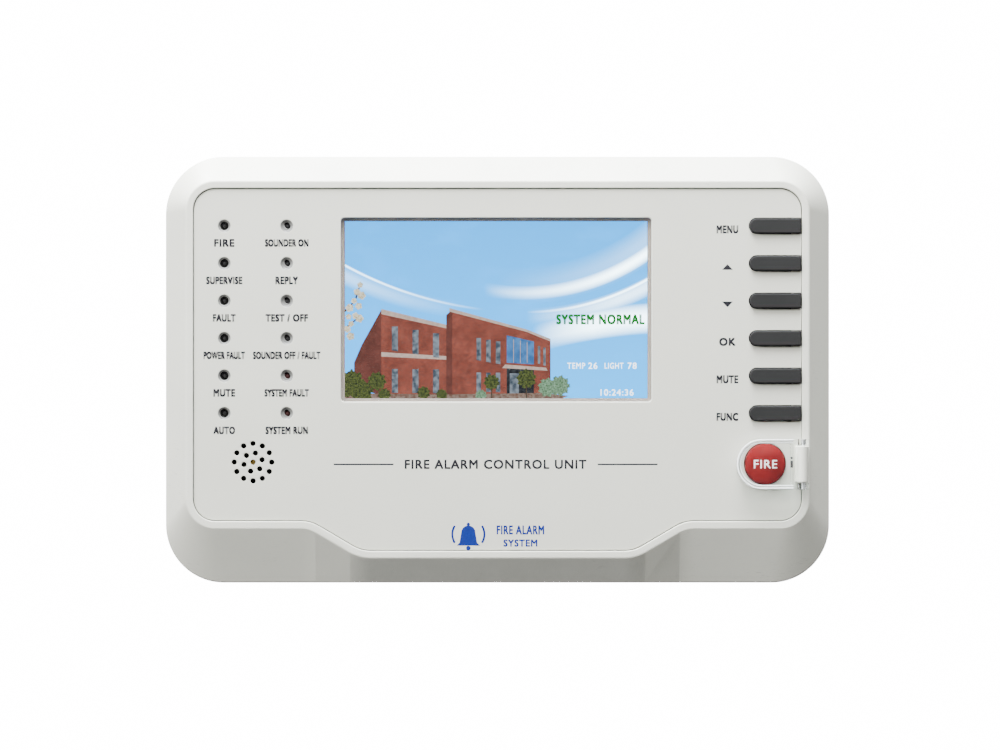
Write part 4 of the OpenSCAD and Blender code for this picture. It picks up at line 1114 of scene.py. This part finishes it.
def make_board_green():
    """A circuit board: green lacquer over tracks, with tinned pads and small through-holes."""
    tree = blank("board_green")
    tracks = 0
    for axes, brick, row in (((0, 2), 9.0, 1.6), ((2, 0), 13.0, 2.1)):
        pattern = tree.bricks(axes, ((1, 1, 1), (1, 1, 1), (0, 0, 0)), 0.28, brick, row)
        gate = tree.between(tree.noise(9 + row, 1), 0, 1, 0.49, 0.51)
        lines = tree.maths("MULTIPLY", tree.maths("SUBTRACT", 1.0, pattern), gate)
        tracks = tree.maths("MAXIMUM", tracks, lines)
    dots = tree.add("TexVoronoi", {"Vector": tree.where, "Scale": 0.22}).outputs["Distance"]
    pads = tree.between(dots, 1, 0, 0.09, 0.11)
    colour = tree.mixed(tree.noise(20, 2), (0.012, 0.13, 0.045), (0.015, 0.15, 0.052))
    colour = tree.mixed(tracks, colour, (0.035, 0.26, 0.095))
    colour = tree.mixed(pads, colour, (0.55, 0.55, 0.52))
    colour = tree.mixed(tree.between(dots, 1, 0, 0.045, 0.055), colour, (0.01, 0.01, 0.01))
    relief = tree.raised(tree.maths("MAXIMUM", tracks, pads), 0.05)
    return tree.shaded(colour, tree.between(tree.noise(6, 3), 0.25, 0.42), relief)


board_green = make_board_green()
capacitor_tan = plastic("capacitor_tan", (0.42, 0.27, 0.13), rough=0.4, grain=0.3, depth=0.004)
chip_black = plastic("chip_black", (0.022, 0.022, 0.024), rough=0.5, grain=0.2, depth=0.01, uneven=0.15)
tin = metal("tin", (0.70, 0.70, 0.69), rough=0.3, tarnish=0.15)
header_cream = plastic("header_cream", (0.62, 0.56, 0.42), rough=0.45)
relay_blue = plastic("relay_blue", (0.03, 0.13, 0.42), rough=0.3)
terminal_green = plastic("terminal_green", (0.03, 0.24, 0.10), rough=0.4)
battery_grey = plastic("battery_grey", (0.085, 0.088, 0.092), rough=0.5, grain=0.7, depth=0.03)
battery_lid = plastic("battery_lid", (0.055, 0.057, 0.060), rough=0.45, grain=0.7, depth=0.03)
sleeve_black = plastic("sleeve_black", (0.018, 0.020, 0.030), rough=0.28, coat=0.3)
rocker_red = plastic("rocker_red", (0.45, 0.015, 0.012), rough=0.25)
tape_yellow = plastic("tape_yellow", (0.66, 0.46, 0.06), rough=0.4, grain=1.2)
paper = plastic("paper", (0.80, 0.77, 0.64), rough=0.7, grain=0.2, depth=0.008, uneven=0.03)
ferrite = plastic("ferrite", (0.05, 0.05, 0.052), rough=0.6, grain=0.5, depth=0.03)
glass_tube = clear("glass_tube", (0.95, 0.97, 0.96))
WIRES = {name: plastic("wire_" + name, colour, rough=0.38, grain=0.8) for name, colour in (
    ("red", (0.50, 0.02, 0.015)), ("black", (0.02, 0.02, 0.02)), ("brown", (0.16, 0.06, 0.02)),
    ("blue", (0.02, 0.09, 0.40)), ("green", (0.10, 0.35, 0.04)), ("grey", (0.36, 0.36, 0.35)))}

# ---- Inside: kinds of part. top is 1 where a part looks at the wall, and -1 where it looks at the front ----

PIN_PITCH = 2.54
SCREW_R = 1.5
STRIKE_X = 145


def add_chip(shape, box, top):
    """A moulded chip with bent pins on its longer sides and a dot by its first pin."""
    foot, face = box.y[::top]
    shape.block(box.x, box.y, box.z, chip_black)
    upright = width(box.z) >= width(box.x)
    along, across = (box.z, box.x) if upright else (box.x, box.z)
    count = max(3, int(width(along) / 1.6))
    step = width(along) / count
    for i in range(count):
        start = along[0] + step * (i + 0.3)
        for edge, out in zip(across, (-1.1, 1.1)):
            pin = sorted((edge, edge + out))
            shape.bar(upright, [start, start + step * 0.4], pin, level(foot, top, 0.02, 0.3), tin)
    dot = (box.x[0] + 1.4, box.z[1] - 1.4)
    shape.rod("y", dot, 0.55, (face - top * 0.05, face + top * 0.02), socket_grey, 20)


def add_can(shape, box, top):
    """An electrolytic capacitor: a sleeved can with a rolled neck, a printed stripe and a scored end."""
    at, radius = centre(box), width(box.x) / 2
    foot, tall = box.y[::top][0], width(box.y)

    def turned(profile, material, sides):
        shape.lathe("y", at, [(radius * share, foot + top * up) for share, up in profile], material, sides)

    turned([(0.96, 0), (1, 0.3), (1, 1.0), (0.92, 1.5), (1, 2.0)]
           + [(1, tall - 0.5), (0.94, tall - 0.1), (0.80, tall)], sleeve_black, 40)
    turned([(0.78, tall - 0.2), (0.76, tall)], tin, 32)
    for angle in (0, 60, 120):
        score = arc(at, radius * 0.6, angle + 180, angle, 1)
        shape.tube(at_y(score, foot + top * (tall - 0.02)), 0.06, chip_black, 6)
    stripe = arc(at, radius + 0.02, 20, 60, 5)
    points = at_y(stripe, foot + top * 2.6) + at_y(stripe, foot + top * (tall - 0.9))
    shape.add(points, [(i, i + 1, i + 7, i + 6) for i in range(5)], WIRES["grey"])


def add_screw(shape, box, top, slotted=False):
    """A screw whose head has a cross recess or a slot."""
    at, radius = centre(box), width(box.x) / 2
    foot, face = box.y[::top]
    deep = min(1.6, width(box.y))
    recess = cross(at, radius * 0.62, radius * 0.13)
    if slotted:
        recess = rectangle(about(at[0], radius * 0.85), about(at[1], radius * 0.16))
    head = Shape()
    head.plate(ring(at, radius, 32), [0, deep * 0.6], steel, [(recess, round_rim(0.05, 2))], rim=deep * 0.4)
    head.rod("y", at, radius, (deep * 0.6, deep), steel)
    shape.add([(x, face - top * y, z) for x, y, z in head.points], head.faces, steel)
    if width(box.y) > deep + 0.1:
        low, high = sorted((face - top * deep, foot))
        turns = [(SCREW_R - 0.16 * (i % 2), low + (high - low) * i / 16) for i in range(17)]
        shape.lathe("y", at, turns, steel, 20)


def add_header(shape, box, top):
    """A shrouded connector: four walls with a key slot, and two rows of pins."""
    foot, face = box.y[::top]
    shape.block(box.x, level(foot, top, 0, 1.2), box.z, header_cream)
    upright = width(box.z) > width(box.x)
    for side, (x, z) in enumerate(zip(ends(box.x, 0.9), ends(box.z, 0.9))):
        slotted = upright and side == 0
        for length in ends(box.z, width(box.z) / 2 - 2) if slotted else [box.z]:
            shape.block(x, box.y, length, header_cream)
        shape.block(box.x, box.y, z, header_cream)
    along, across = (box.z, box.x) if upright else (box.x, box.z)
    count = int((width(along) - 4) / PIN_PITCH)
    y = sorted((foot + top, face - 0.6 * top))
    for i in range(count):
        own = about(middle(along) + PIN_PITCH * (i - (count - 1) / 2), 0.3)
        for row in (-PIN_PITCH / 2, PIN_PITCH / 2):
            shape.bar(upright, own, about(middle(across) + row, 0.3), y, brass)


def add_display_part(shape, box, top):
    """A part of the display board, told by its height: a capacitor, a header or a chip."""
    tall = width(box.y)
    add = add_can if tall > 5.5 else add_header if tall > 4 else add_chip
    add(shape, box, top)


def add_relay(shape, box, top):
    """A relay that looks at the front: a cube with a dot in one corner and three printed lines."""
    foot, face = box.y[::top]
    shape.plate(outline_of(box, 0, 0.8, 4), [face, foot - 0.6], relay_blue, rim=0.6)
    shape.block(inset(box.x, 0.6), [foot - 0.6, foot], inset(box.z, 0.6), relay_blue)
    dot = (box.x[0] + 2, box.z[1] - 2)
    shape.rod("y", dot, 0.5, (face - 0.02, face + 0.1), chip_black, 16)
    for i in (-1, 0, 1):
        line = [box.x[0] + 3, box.x[1] - 4.5 - 1.5 * i]
        shape.block(line, [face - 0.015, face + 0.05], about(middle(box.z) + 2.2 * i, 0.25), white_ink)


def add_board_screw(shape, box, top):
    """A board's screw: the thin ones are slotted, the others have a cross recess."""
    add_screw(shape, box, top, slotted=width(box.y) < 1)


def add_door_screw(shape, box, top):
    """A screw on the door: the strike's own look at the front, the others at the wall."""
    add_screw(shape, box, -1 if box.x[0] > STRIKE_X else top)


def add_key_switch(shape, box, top):
    """A tact switch's body, a black base under a metal lid riveted at its corners, or its round plunger."""
    foot, face = box.y[::top]
    if width(box.x) > 5:
        lid = face + 0.5
        shape.block(box.x, [lid, foot], box.z, chip_black)
        shape.plate(outline_of(box, 0.15, 0.3, 3), [face, lid], tin, rim=0.15)
        rivet = [(0.1, face - 0.12), (0.35, face - 0.08), (0.45, face + 0.1)]
        for at in ((x, z) for x in inset(box.x, 0.9) for z in inset(box.z, 0.9)):
            shape.lathe("y", at, rivet, chip_black, 12)
    else:
        shape.rod("y", centre(box), width(box.x) / 2, box.y, chip_black, 28, edge=0.2)


def redraw(node, name, body, slot, add, top, bevel=0.0):
    """Draws each solid of a CAD node in more detail, as one piece that takes the node's place."""
    shape = Shape()
    for box in solids(node):
        add(shape, box, top)
    shape.piece(name, body, slot, [node], bevel)


def make_small_parts(board, body, top, count, seed, taken):
    """Small resistors and capacitors in rows on a board, kept clear of its larger parts, and printed
    outlines round those."""
    area = span(board)
    face = area.y[::top][1]
    boxes = [box for node in taken.split() for box in solids(node)]
    shape = Shape()
    for box in boxes:
        if min(width(box.x), width(box.z)) > 5:
            hole = (outline_of(box, -1.45), round_rim(0.01, 1))
            shape.plate(outline_of(box, -1.7), level(face, top, 0, 0.03), white_ink, [hole], rim=0.01)
    chance = random.Random(seed)
    for _ in range(count):
        sizes = chance.choice(((2.0, 1.25), (3.2, 1.6), (1.6, 0.8)))
        right, up = sizes[::-1] if chance.random() < 0.5 else sizes
        x = area.x[0] + 4 + PIN_PITCH / 2 * round(chance.uniform(0, width(area.x) - 8) / (PIN_PITCH / 2))
        z = area.z[0] + 4 + PIN_PITCH * round(chance.uniform(0, width(area.z) - 8) / PIN_PITCH)
        box = Box((x, x + right), area.y, (z, z + up))
        wide = inset(box.x, -2), inset(box.z, -2)
        if any(all(a[0] < b[1] and a[1] > b[0] for a, b in zip(wide, (other.x, other.z))) for other in boxes):
            continue
        boxes.append(box)
        tall, kind = (0.5, chip_black) if chance.random() < 0.6 else (0.9, capacitor_tan)
        shape.block(box.x, level(face, top, 0, tall), box.z, kind)
        upright = up >= right
        along, across = (box.z, box.x) if upright else (box.x, box.z)
        for end in ends(along, 0.4):
            shape.bar(upright, end, inset(across, -0.03), level(face, top, 0, tall + 0.03), tin)
    shape.piece(board + "_small_parts", body, "chips")


# ---- Inside: pieces ----


def make_board_parts():
    """Everything that sits on the boards, with their screws and the key switches."""
    redraw("main_chips", "main_board_chips", "housing", "chips", add_chip, -1, 0.12)
    redraw("display_chips", "display_board_chips", "door", "chips", add_display_part, 1, 0.1)
    for node, body, top in (("main_header", "housing", -1), ("door_header", "door", 1)):
        shape = Shape()
        add_header(shape, span(node), top)
        shape.piece(node + "_shroud", body, "header", [node], bevel=0.12)
    redraw("main_capacitors", "main_board_capacitors", "housing", "black_plastic", add_can, -1)
    redraw("relays", "relay_blocks", "housing", "relay_blue", add_relay, -1)
    dress("terminal_blocks", terminal_green, bevel=0.25)
    make_small_parts("main_board", "housing", -1, 150, 11,
                     "main_chips main_capacitors relays terminal_blocks main_header board_screws")
    make_small_parts("display_board", "door", 1, 130, 12, "display_chips door_header door_screws door_strike")
    make_small_parts("indicator_board", "door", 1, 70, 13, "door_screws")
    make_small_parts("keypad_board", "door", 1, 50, 14, "door_screws door_strike alarm_switch")
    redraw("board_screws", "board_screw_heads", "housing", "steel", add_board_screw, -1)
    redraw("door_screws", "door_screw_heads", "door", "steel", add_door_screw, 1)
    redraw("key_switches", "tact_switches", "door", "steel", add_key_switch, -1)


BATTERY_LID = 7
BATTERY_WALL = 1.2
RIB_PITCH = 5
RIB_WIDTH = 3
MARK_REACH = 1.8
MARK_HALF = 0.4
PRINT_LENGTHS = (46, 34, 40)


def make_battery():
    """A sealed battery: a case with a sunken front, and a lid with short ribs and a plus and a minus sign."""
    box = span("battery_case")
    (left, right), (front, back), (low, high) = box
    lid, inside = high - BATTERY_LID, front + BATTERY_WALL
    shape = Shape()
    case = rectangle(box.x, [low, lid], 1.5, 4)
    recess = rectangle(inset(box.x, 8), [low + 7, lid - 6], 2.5, 5)
    shape.plate(case, [front, inside], battery_grey, [(recess, round_rim(0.4))], rim=0.5)
    shape.plate(case, [inside, back], battery_grey, rim=0.02, back_rim=0.8)
    cap = rectangle(inset(box.x, 0.6), [lid, high], 0.8, 4)
    shape.plate(cap, inset(box.y, 0.6), battery_lid, rim=0.6, back_rim=0.6)
    for x in inset(box.x, 15):
        for start in (x - 9 + RIB_PITCH * k for k in range(4)):
            rib_x, rib_z = [start, start + RIB_WIDTH], inset((lid, high), 1.5)
            shape.block(rib_x, [front + 0.35, front + 1], rib_z, battery_lid)
    mark_y, mark_z = [front + 0.54, front + 0.69], (lid + high) / 2
    for x, colour, plus in ((left + 28, WIRES["grey"], False), (right - 30, WIRES["red"], True)):
        shape.block(about(x, MARK_REACH), mark_y, about(mark_z, MARK_HALF), colour)
        if plus:
            shape.block(about(x, MARK_HALF), mark_y, about(mark_z, MARK_REACH), colour)
    start = left + 24
    for i, length in enumerate(PRINT_LENGTHS):
        z = low + 36 - 6 * i
        shape.block([start, start + length], [inside - 0.03, inside + 0.05], [z, z + 1.6], WIRES["grey"])
    shape.piece("battery_shell", "housing", "battery_grey", ["battery_case"])
    dress("battery_tabs", tin, bevel=0.15)
    dress("battery_strap", sheet_steel, bevel=0.3)


supply = span("supply_cover")
terminal = span("mains_terminal")
fuse = span("fuse_holder")
FUSE_Y = -11
FUSE_BASE_Y = -8
CLIP_Y = (-14, -7.9)
CLIP_T = 0.8
FUSE_CAP = 5.5
FUSE_CAP_R = 2.6
FUSE_GLASS_R = 2.45
SINK_BASE = 3
SINK_FINS = 5
FIN_T = 1.6
WAY_START = 6
WAY_PITCH = 10
SCREW_HALF = 2.4
LEAD_R = 1.25
MAINS_R = 1.1
THIN_R = 0.7
WIRE_Y = -9


def make_supply():
    """The supply's inner parts, its mains terminal's screws, and a glass fuse in spring clips."""
    transformer, *others = sorted(solids("supply_parts"), key=lambda b: -width(b.x) * width(b.z) * width(b.y))
    shape = Shape()
    front, back = transformer.y
    shape.block(transformer.x, [front + 3, back - 2], about(middle(transformer.z), 8), tape_yellow)
    for z in ends(transformer.z, 4.5):
        shape.block(transformer.x, [front, back - 1], z, ferrite)
    shape.block(inset(transformer.x, 6), [front, front + 4], transformer.z, ferrite)
    shape.block(transformer.x, [back - 2.5, back], transformer.z, chip_black)
    for box in others:
        if abs(width(box.x) - width(box.z)) < 0.2:
            add_can(shape, box, -1)
        else:
            base = box.y[1] - SINK_BASE
            shape.block(box.x, [base, box.y[1]], box.z, tin)
            for k in range(SINK_FINS):
                x = box.x[0] + k * (width(box.x) - FIN_T) / (SINK_FINS - 1)
                shape.block([x, x + FIN_T], [box.y[0], base], box.z, tin)
    shape.piece("supply_components", "housing", "black_plastic", ["supply_parts"], bevel=0.3)
    dress("mains_terminal", black_plastic, bevel=0.4)
    shape = Shape()
    for k in range(3):
        x, z = (about(c, SCREW_HALF) for c in (terminal.x[0] + WAY_START + WAY_PITCH * k, middle(terminal.z)))
        add_screw(shape, Box(x, (terminal.y[0] + 2.2, terminal.y[0] + 3.4), z), -1, slotted=True)
    shape.piece("mains_terminal_screws", "housing", "brass")
    shape = Shape()
    shape.block(fuse.x, [FUSE_BASE_Y, fuse.y[1]], fuse.z, black_plastic)
    for x in ends(fuse.x, 3):
        for z in (fuse.z[0] + 1.6, fuse.z[1] - 1.6 - CLIP_T):
            shape.block(x, CLIP_Y, [z, z + CLIP_T], tin)
    at, tube = (FUSE_Y, middle(fuse.z)), inset(fuse.x, 5.8)
    for x in ends(inset(fuse.x, 0.5), FUSE_CAP):
        shape.rod("x", at, FUSE_CAP_R, x, tin, edge=0.4)
    shape.rod("x", at, FUSE_GLASS_R, tube, glass_tube)
    shape.rod("x", at, 0.12, tube, tin, 8)
    shape.piece("fuse_and_clips", "housing", "black_plastic", ["fuse_holder"], bevel=0.2)
    dress("supply_tray supply_cover", sheet_steel, bevel=0.4)
    dress("supply_board", board_green, bevel=0.1)
    dress("switch_frames", black_plastic, bevel=0.3)
    dress("mains_rocker standby_rocker", rocker_red, bevel=0.5, steps=3)


def make_wires():
    """Battery leads with their push-on sleeves, the mains wires between terminal, fuse and supply, and the
    sounder's wires."""
    channel_x = (span("battery_case").x[1] + supply.x[0]) / 2
    run_z = span("main_board").z[0] + 4
    shape = Shape()
    for k, (box, colour) in enumerate(zip(solids("battery_tabs"), ("black", "red"))):
        x, y = middle(box.x), middle(box.y)
        shape.block(inset(box.x, -0.9), about(y, 1.4), [box.z[0] + 1.2, box.z[1] + 4.5], WIRES[colour])
        z = run_z + 3.2 * k
        down, low = channel_x + 2 - 4 * k, -50 - 5 * k
        route = [(x, box.z[1] + 4), (x, z - 2.5), (x + 3, z), (x + 12, z), (down - 12, z), (down - 3, z)]
        route += [(down, z - 3), (down, z - 14), (down, low), (down + 1.5, low - 3)]
        route.append((supply.x[0] + 0.5, low - 4))
        shape.wire(at_y(route, y), LEAD_R, colour)
    shape.piece("battery_leads", "housing", "black_plastic", bevel=0.3)
    shape = Shape()
    for k, colour in enumerate(("brown", "blue", "green")):
        x, z = terminal.x[0] + WAY_START + WAY_PITCH * k, terminal.z[0]
        route = [(x, WIRE_Y, z + 1), (x, WIRE_Y - 1, z - 1.5), (x + 0.5, WIRE_Y - 2, supply.z[1] - 0.5)]
        shape.wire(route, MAINS_R, colour)
    x, z = fuse.x[1], middle(fuse.z)
    shape.wire([(x - 1, WIRE_Y, z), (x + 2, WIRE_Y - 0.5, z + 1),
                (terminal.x[0] + 0.5, WIRE_Y, middle(terminal.z))], MAINS_R, "brown")
    shape.piece("mains_wires", "housing", "black_plastic")
    shape = Shape()
    back, board = sounder.y[1], span("indicator_board")
    for k, colour in enumerate(("red", "black")):
        x, z = SOUNDER[0] - 3 + 6 * k, SOUNDER[1]
        to = x + 2 - 2 * k
        shape.wire([(x, back - 0.4, z + 4), (x, back + 1.6, z + 5.5), (x + 1, back + 2.2, z + 10),
                    (to, back + 0.6, board.z[0] - 1), (to, board.y[1] + 1.2, board.z[0] + 4),
                    (to, board.y[1] - 0.2, board.z[0] + 6)], THIN_R, colour, 10)
    shape.piece("sounder_wires", "door", "black_plastic")


RIBBON_HALF = 0.45
RIBBON_TURN = 3
RIBBON_FOLD = 4
RIBBON_CORES = 20
CORE_STEPS = 6


def make_ribbon():
    """A flat cable with a ridge for each wire and one red edge, folded between the two boards' headers."""
    box = span("ribbon_cable")
    main, door = span("main_header"), span("door_header")
    x0, turn, fold = middle(main.x), RIBBON_TURN, RIBBON_FOLD
    start, end = main.y[0] - 0.2, door.y[1] + 0.2
    first = start - 3 - turn
    second, third = first - 2 * fold, first - 4 * fold
    route = [(x0, start)] + arc((x0 + turn, first + turn), turn, 180, 270, 8)
    route += arc((x0 + 20, second + fold), fold, 90, -90, 16)
    route += arc((x0 - 16, third + fold), fold, 90, 270, 16)
    route += arc((x0 - turn, third - turn), turn, 90, 0, 8) + [(x0, end)]
    pitch = width(box.z) / RIBBON_CORES
    half = []
    for share in (k / CORE_STEPS for k in range(RIBBON_CORES * CORE_STEPS + 1)):
        half.append((RIBBON_HALF * (0.62 + 0.38 * abs(math.sin(math.pi * share))), box.z[0] + pitch * share))
    section = half + [(-d, z) for d, z in reversed(half)]
    rings = []
    for i, point in enumerate(route):
        a, b = Vector(route[max(i - 1, 0)]), Vector(route[min(i + 1, len(route) - 1)])
        out = (b - a).normalized().orthogonal()
        rings.append([(point[0] + out.x * d, point[1] + out.y * d, z) for d, z in section])
    shape = Shape()
    shape.loops(rings, WIRES["grey"], caps=True)
    red = len(shape.materials)
    shape.materials.append(WIRES["red"])
    for i, face in enumerate(shape.faces[:-2]):
        if all(shape.points[k][2] < box.z[0] + pitch + 0.01 for k in face):
            shape.kinds[i] = red
    cable = shape.piece("ribbon_flat_cable", None, "ribbon", ["ribbon_cable"])
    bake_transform(cable)
    for header, body, top in ((main, "housing", -1), (door, "door", 1)):
        plug = Shape()
        y = level(header.y[::top][1], top, -3, 1.6)
        plug.block(inset(header.x, 1.1), y, inset(header.z, 1.3), chip_black)
        plug.piece("ribbon_plug_" + body, body, "header", bevel=0.3)


SPRING_WIRE = 0.35
SPRING_TURNS = 3.5
TURN_STEPS = 32


def make_spring():
    """The button's return spring as a coil of round wire."""
    box = span("alarm_spring")
    start, end = inset(box.y, SPRING_WIRE)
    count = int(SPRING_TURNS * TURN_STEPS)
    route = []
    for i, (x, z) in enumerate(arc(BUTTON, width(box.x) / 2 - SPRING_WIRE, 0, 360 * SPRING_TURNS, count)):
        share = i / count
        share -= 0.05 * math.sin(math.tau * share)
        route.append((x, start + (end - start) * share, z))
    shape = Shape()
    shape.tube(route, SPRING_WIRE, steel, 12)
    spring = shape.piece("alarm_spring_coil", None, "steel", ["alarm_spring"])
    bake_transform(spring)


TAB_START = 4.5
TAB_PITCH = 8
TAB_HALF = 2.2


def make_alarm_switch():
    """The switch behind the button: a body with a riveted lid, brass screw terminals and two wires."""
    box = span("alarm_switch")
    front, back = box.y
    lid = back - 1.4
    board_back = span("keypad_board").y[1]
    shape = Shape()
    stem_hole = (ring(BUTTON, STEM_R + 0.3, 32), round_rim(0.3))
    shape.plate(outline_of(box, 0, 0.8, 4), [front, lid], black_plastic, [stem_hole], rim=0.4, back_rim=0.2)
    shape.plate(outline_of(box, 0.4, 0.8, 4), [lid, back - 0.3], black_plastic, rim=0.01, back_rim=0.5)
    for x in inset(box.x, 2.4):
        shape.lathe("y", (x, box.z[1] - 2.4), [(1.1, back - 0.4), (1.1, back - 0.15), (0.7, back)], steel, 24)
    for k, colour in enumerate(("red", "black")):
        x, z = box.x[0] + TAB_START + TAB_PITCH * k, box.z[0]
        shape.block(about(x, TAB_HALF), [lid, back - 0.1], [z + 1, z + 1 + 2 * TAB_HALF], brass)
        add_screw(shape, Box(about(x, 1.7), (lid, back), (z + 1.6, z + 5.0)), 1, slotted=True)
        shape.wire([(x, back - 0.8, z + 1.4), (x, back - 1.0, z - 1.5), (x + 0.4, board_back + 2, z - 3),
                    (x + 0.4, board_back - 0.2, z - 3.4)], 0.75, colour, 10)
    shape.piece("alarm_switch_body", "door", "black_plastic", ["alarm_switch"], bevel=0.1)


LABEL_X = (-62, 46)
LABEL_Z = (-68, -28)
PAPER_T = 0.10
GROUP_PITCH = 25
DRAWN_PITCH = 3
LOOP_PITCH = 6
LOOP_R = 1.8


def make_diagram():
    """A wiring diagram without words, printed on a paper label inside the door."""
    y = panel.y[1] + 0.01
    shape = Shape()
    shape.plate(rectangle(LABEL_X, LABEL_Z, 1.5, 4), [y, y + PAPER_T], paper, rim=0.01, back_rim=0.02)

    def stroke(a, b, thick=0.3):
        """A printed line along X or Z."""
        across, up = (inset(sorted(pair), -thick / 2) for pair in zip(a, b))
        shape.block(across, [y + 0.09, y + 0.13], up, grey_ink)

    def circle(at, radius, thick, steps, levels):
        shape.plate(ring(at, radius, steps), [y + d for d in levels], grey_ink,
                    [(ring(at, radius - thick, steps), round_rim(0.01, 1))], rim=0.01)

    strip = about(LABEL_Z[1] - 7, 2)
    for group in range(4):
        left = LABEL_X[0] + 8 + GROUP_PITCH * group
        for edge in strip:
            stroke((left - 2, edge), (left + 17, edge))
        for edge in (left - 2, left + 17):
            stroke((edge, strip[0]), (edge, strip[1]))
        for way in range(6):
            circle((left + DRAWN_PITCH * way, middle(strip)), 0.9, 0.3, 16, (0.09, 0.13))
        low = LABEL_Z[0] + 6 + 3 * (group % 2)
        first, last = left + DRAWN_PITCH, left + 4 * DRAWN_PITCH
        for x in (first, last):
            stroke((x, strip[0]), (x, low))
        stroke((first, low), (last, low))
        for at in ((first, low + 5 + LOOP_PITCH * k) for k in range(3)):
            shape.plate(ring(at, LOOP_R, 20), [y + PAPER_T, y + 0.14], paper, rim=0.01)
            circle(at, LOOP_R, 0.35, 20, (0.12, 0.15))
        for up in (8, 14):
            stroke((left + 10.5, low + up), (left + 13.5, low + up), 0.5)
    shape.piece("wiring_diagram", "door", "white_plastic")


def number_terminals():
    """The terminals' numbers, printed on the main board below each block."""
    shape = Shape()
    face = span("main_board").y[0] - 0.01
    ways = 6
    for block, box in enumerate(solids("terminal_blocks")):
        for way in range(ways):
            at = (box.x[0] + width(box.x) * (way + 0.5) / ways, box.z[0] - 2.6)
            shape.words(str(block * ways + way + 1), at, 2.1, 3.2, face, white_ink)
    shape.piece("terminal_numbers", "housing", "board")


def surface_y(node, x, z):
    """Where a CAD node's front is met by a line along Y."""
    start = Vector((x * MM, -1, z * MM))
    hit, point, _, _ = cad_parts[node].ray_cast(start, Vector((0, 1, 0)),
                                                     depsgraph=bpy.context.evaluated_depsgraph_get())
    return point.y / MM if hit else span(node).y[0]


def mark_rockers():
    """The on and off marks printed on the two rockers."""
    for node in ("mains_rocker", "standby_rocker"):
        x, z = centre(span(node))
        reach = width(span(node).z) / 4
        shape = Shape()
        for text, up, wide in (("I", reach, 0.7), ("O", -reach, 3.2)):
            shape.words(text, (x, z + up), 3.4, wide, lambda x, z: surface_y(node, x, z) - 0.02, white_ink,
                        0.06, 0.05)
        shape.piece(node + "_marks", node, "rocker_red")


make_board_parts()
make_battery()
make_supply()
make_wires()
make_ribbon()
make_spring()
make_alarm_switch()
make_diagram()
number_terminals()
dress("main_board display_board indicator_board keypad_board", board_green, bevel=0.12)
dress("board_standoffs door_standoffs", brass, bevel=0.2)
dress("rear_housing", white_plastic, bevel=0.5, steps=3)
dress("backlight", white_guide, bevel=0.3)
dress("screen_glass", lens_dark, bevel=0.15)
dress("screen_frame door_strike", sheet_steel, bevel=0.25)
mark_rockers()
dress("door_hinges housing_hinges hinge_pins lock_barrel lock_nut lock_plug lock_cam", steel, bevel=0.25)

# ---- Light, floor and camera ----

FLOOR_Z = -2400
FLOOR_SIZE = 1400
CAMERA_AWAY = 2400
CAMERA_X = 1.2
CAMERA_Z = -2.5
AIM_Y = -60


def make_floor():
    tree = blank("pale_floor")
    colour = tree.mixed(tree.noise(300, 4), (0.60, 0.60, 0.59), (0.64, 0.64, 0.63))
    pale = tree.shaded(colour, tree.between(tree.noise(40, 3), 0.5, 0.7), tree.raised(tree.noise(6, 3), 0.05))
    half = FLOOR_SIZE / 2
    mesh = bpy.data.meshes.new("floor")
    corners = rectangle((-half, half), (-half, half))
    mesh.from_pydata([(x * MM, y * MM, FLOOR_Z * MM) for x, y in corners], [], [(0, 1, 2, 3)])
    mesh.materials.append(pale)
    placed("floor", mesh)


def make_light(name, at, size, watts, colour=(1, 1, 1)):
    """A soft rectangular light that faces the panel."""
    lamp = bpy.data.lights.new(name, "AREA")
    lamp.shape = "RECTANGLE"
    lamp.size, lamp.size_y = (s * MM for s in size)
    lamp.energy = watts
    lamp.color = colour
    obj = placed(name, lamp)
    obj.location = [c * MM for c in at]
    aim = Vector((0, AIM_Y * MM, 0)) - obj.location
    obj.rotation_euler = aim.to_track_quat("-Z", "Y").to_euler()


def make_world(ambient, gloss, backdrop):
    """Soft surroundings, a brighter room in reflections, and a white backdrop, seen also through plastic."""
    world = bpy.data.worlds.new("studio")
    bpy.context.scene.world = world
    tree = Nodes(world)
    rays = tree.add("LightPath").outputs

    def first(kind, other):
        """One for rays of this kind that have met nothing matt and no surface of the other kind."""
        bounces = tree.maths("ADD", rays["Diffuse Depth"], rays[other])
        return tree.maths("MULTIPLY", rays[kind], tree.maths("LESS_THAN", bounces, 0.5))

    seen = tree.maths("MAXIMUM", rays["Is Camera Ray"], first("Is Transmission Ray", "Glossy Depth"))
    mirrored = tree.between(first("Is Glossy Ray", "Transmission Depth"), 0, gloss)
    strength = tree.maths("ADD", tree.between(seen, ambient, backdrop), mirrored)
    tree.shown(tree.add("Background", {"Color": (1, 1, 1, 1), "Strength": strength}), "OutputWorld")


def make_camera():
    """A long lens square to the front, framed like a catalogue picture."""
    lens = bpy.data.cameras.new("camera")
    lens.lens = 180
    lens.sensor_width = 36
    lens.clip_end = 20
    camera = placed("camera", lens)
    camera.location = (CAMERA_X * MM, (cover.y[0] - CAMERA_AWAY) * MM, CAMERA_Z * MM)
    camera.rotation_euler = (math.pi / 2, 0, 0)
    bpy.context.scene.camera = camera


make_floor()
make_world(ambient=0.06, gloss=0.28, backdrop=16)
make_light("overhead_light", (-200, -150, 1100), (1500, 700), 160, (0.95, 0.975, 1.0))
make_light("left_light", (-2300, -1300, 900), (1350, 1500), 110)
make_light("front_light", (250, -1700, 1100), (1400, 700), 29)
make_light("back_light", (900, 1300, 500), (900, 900), 55)
make_camera()
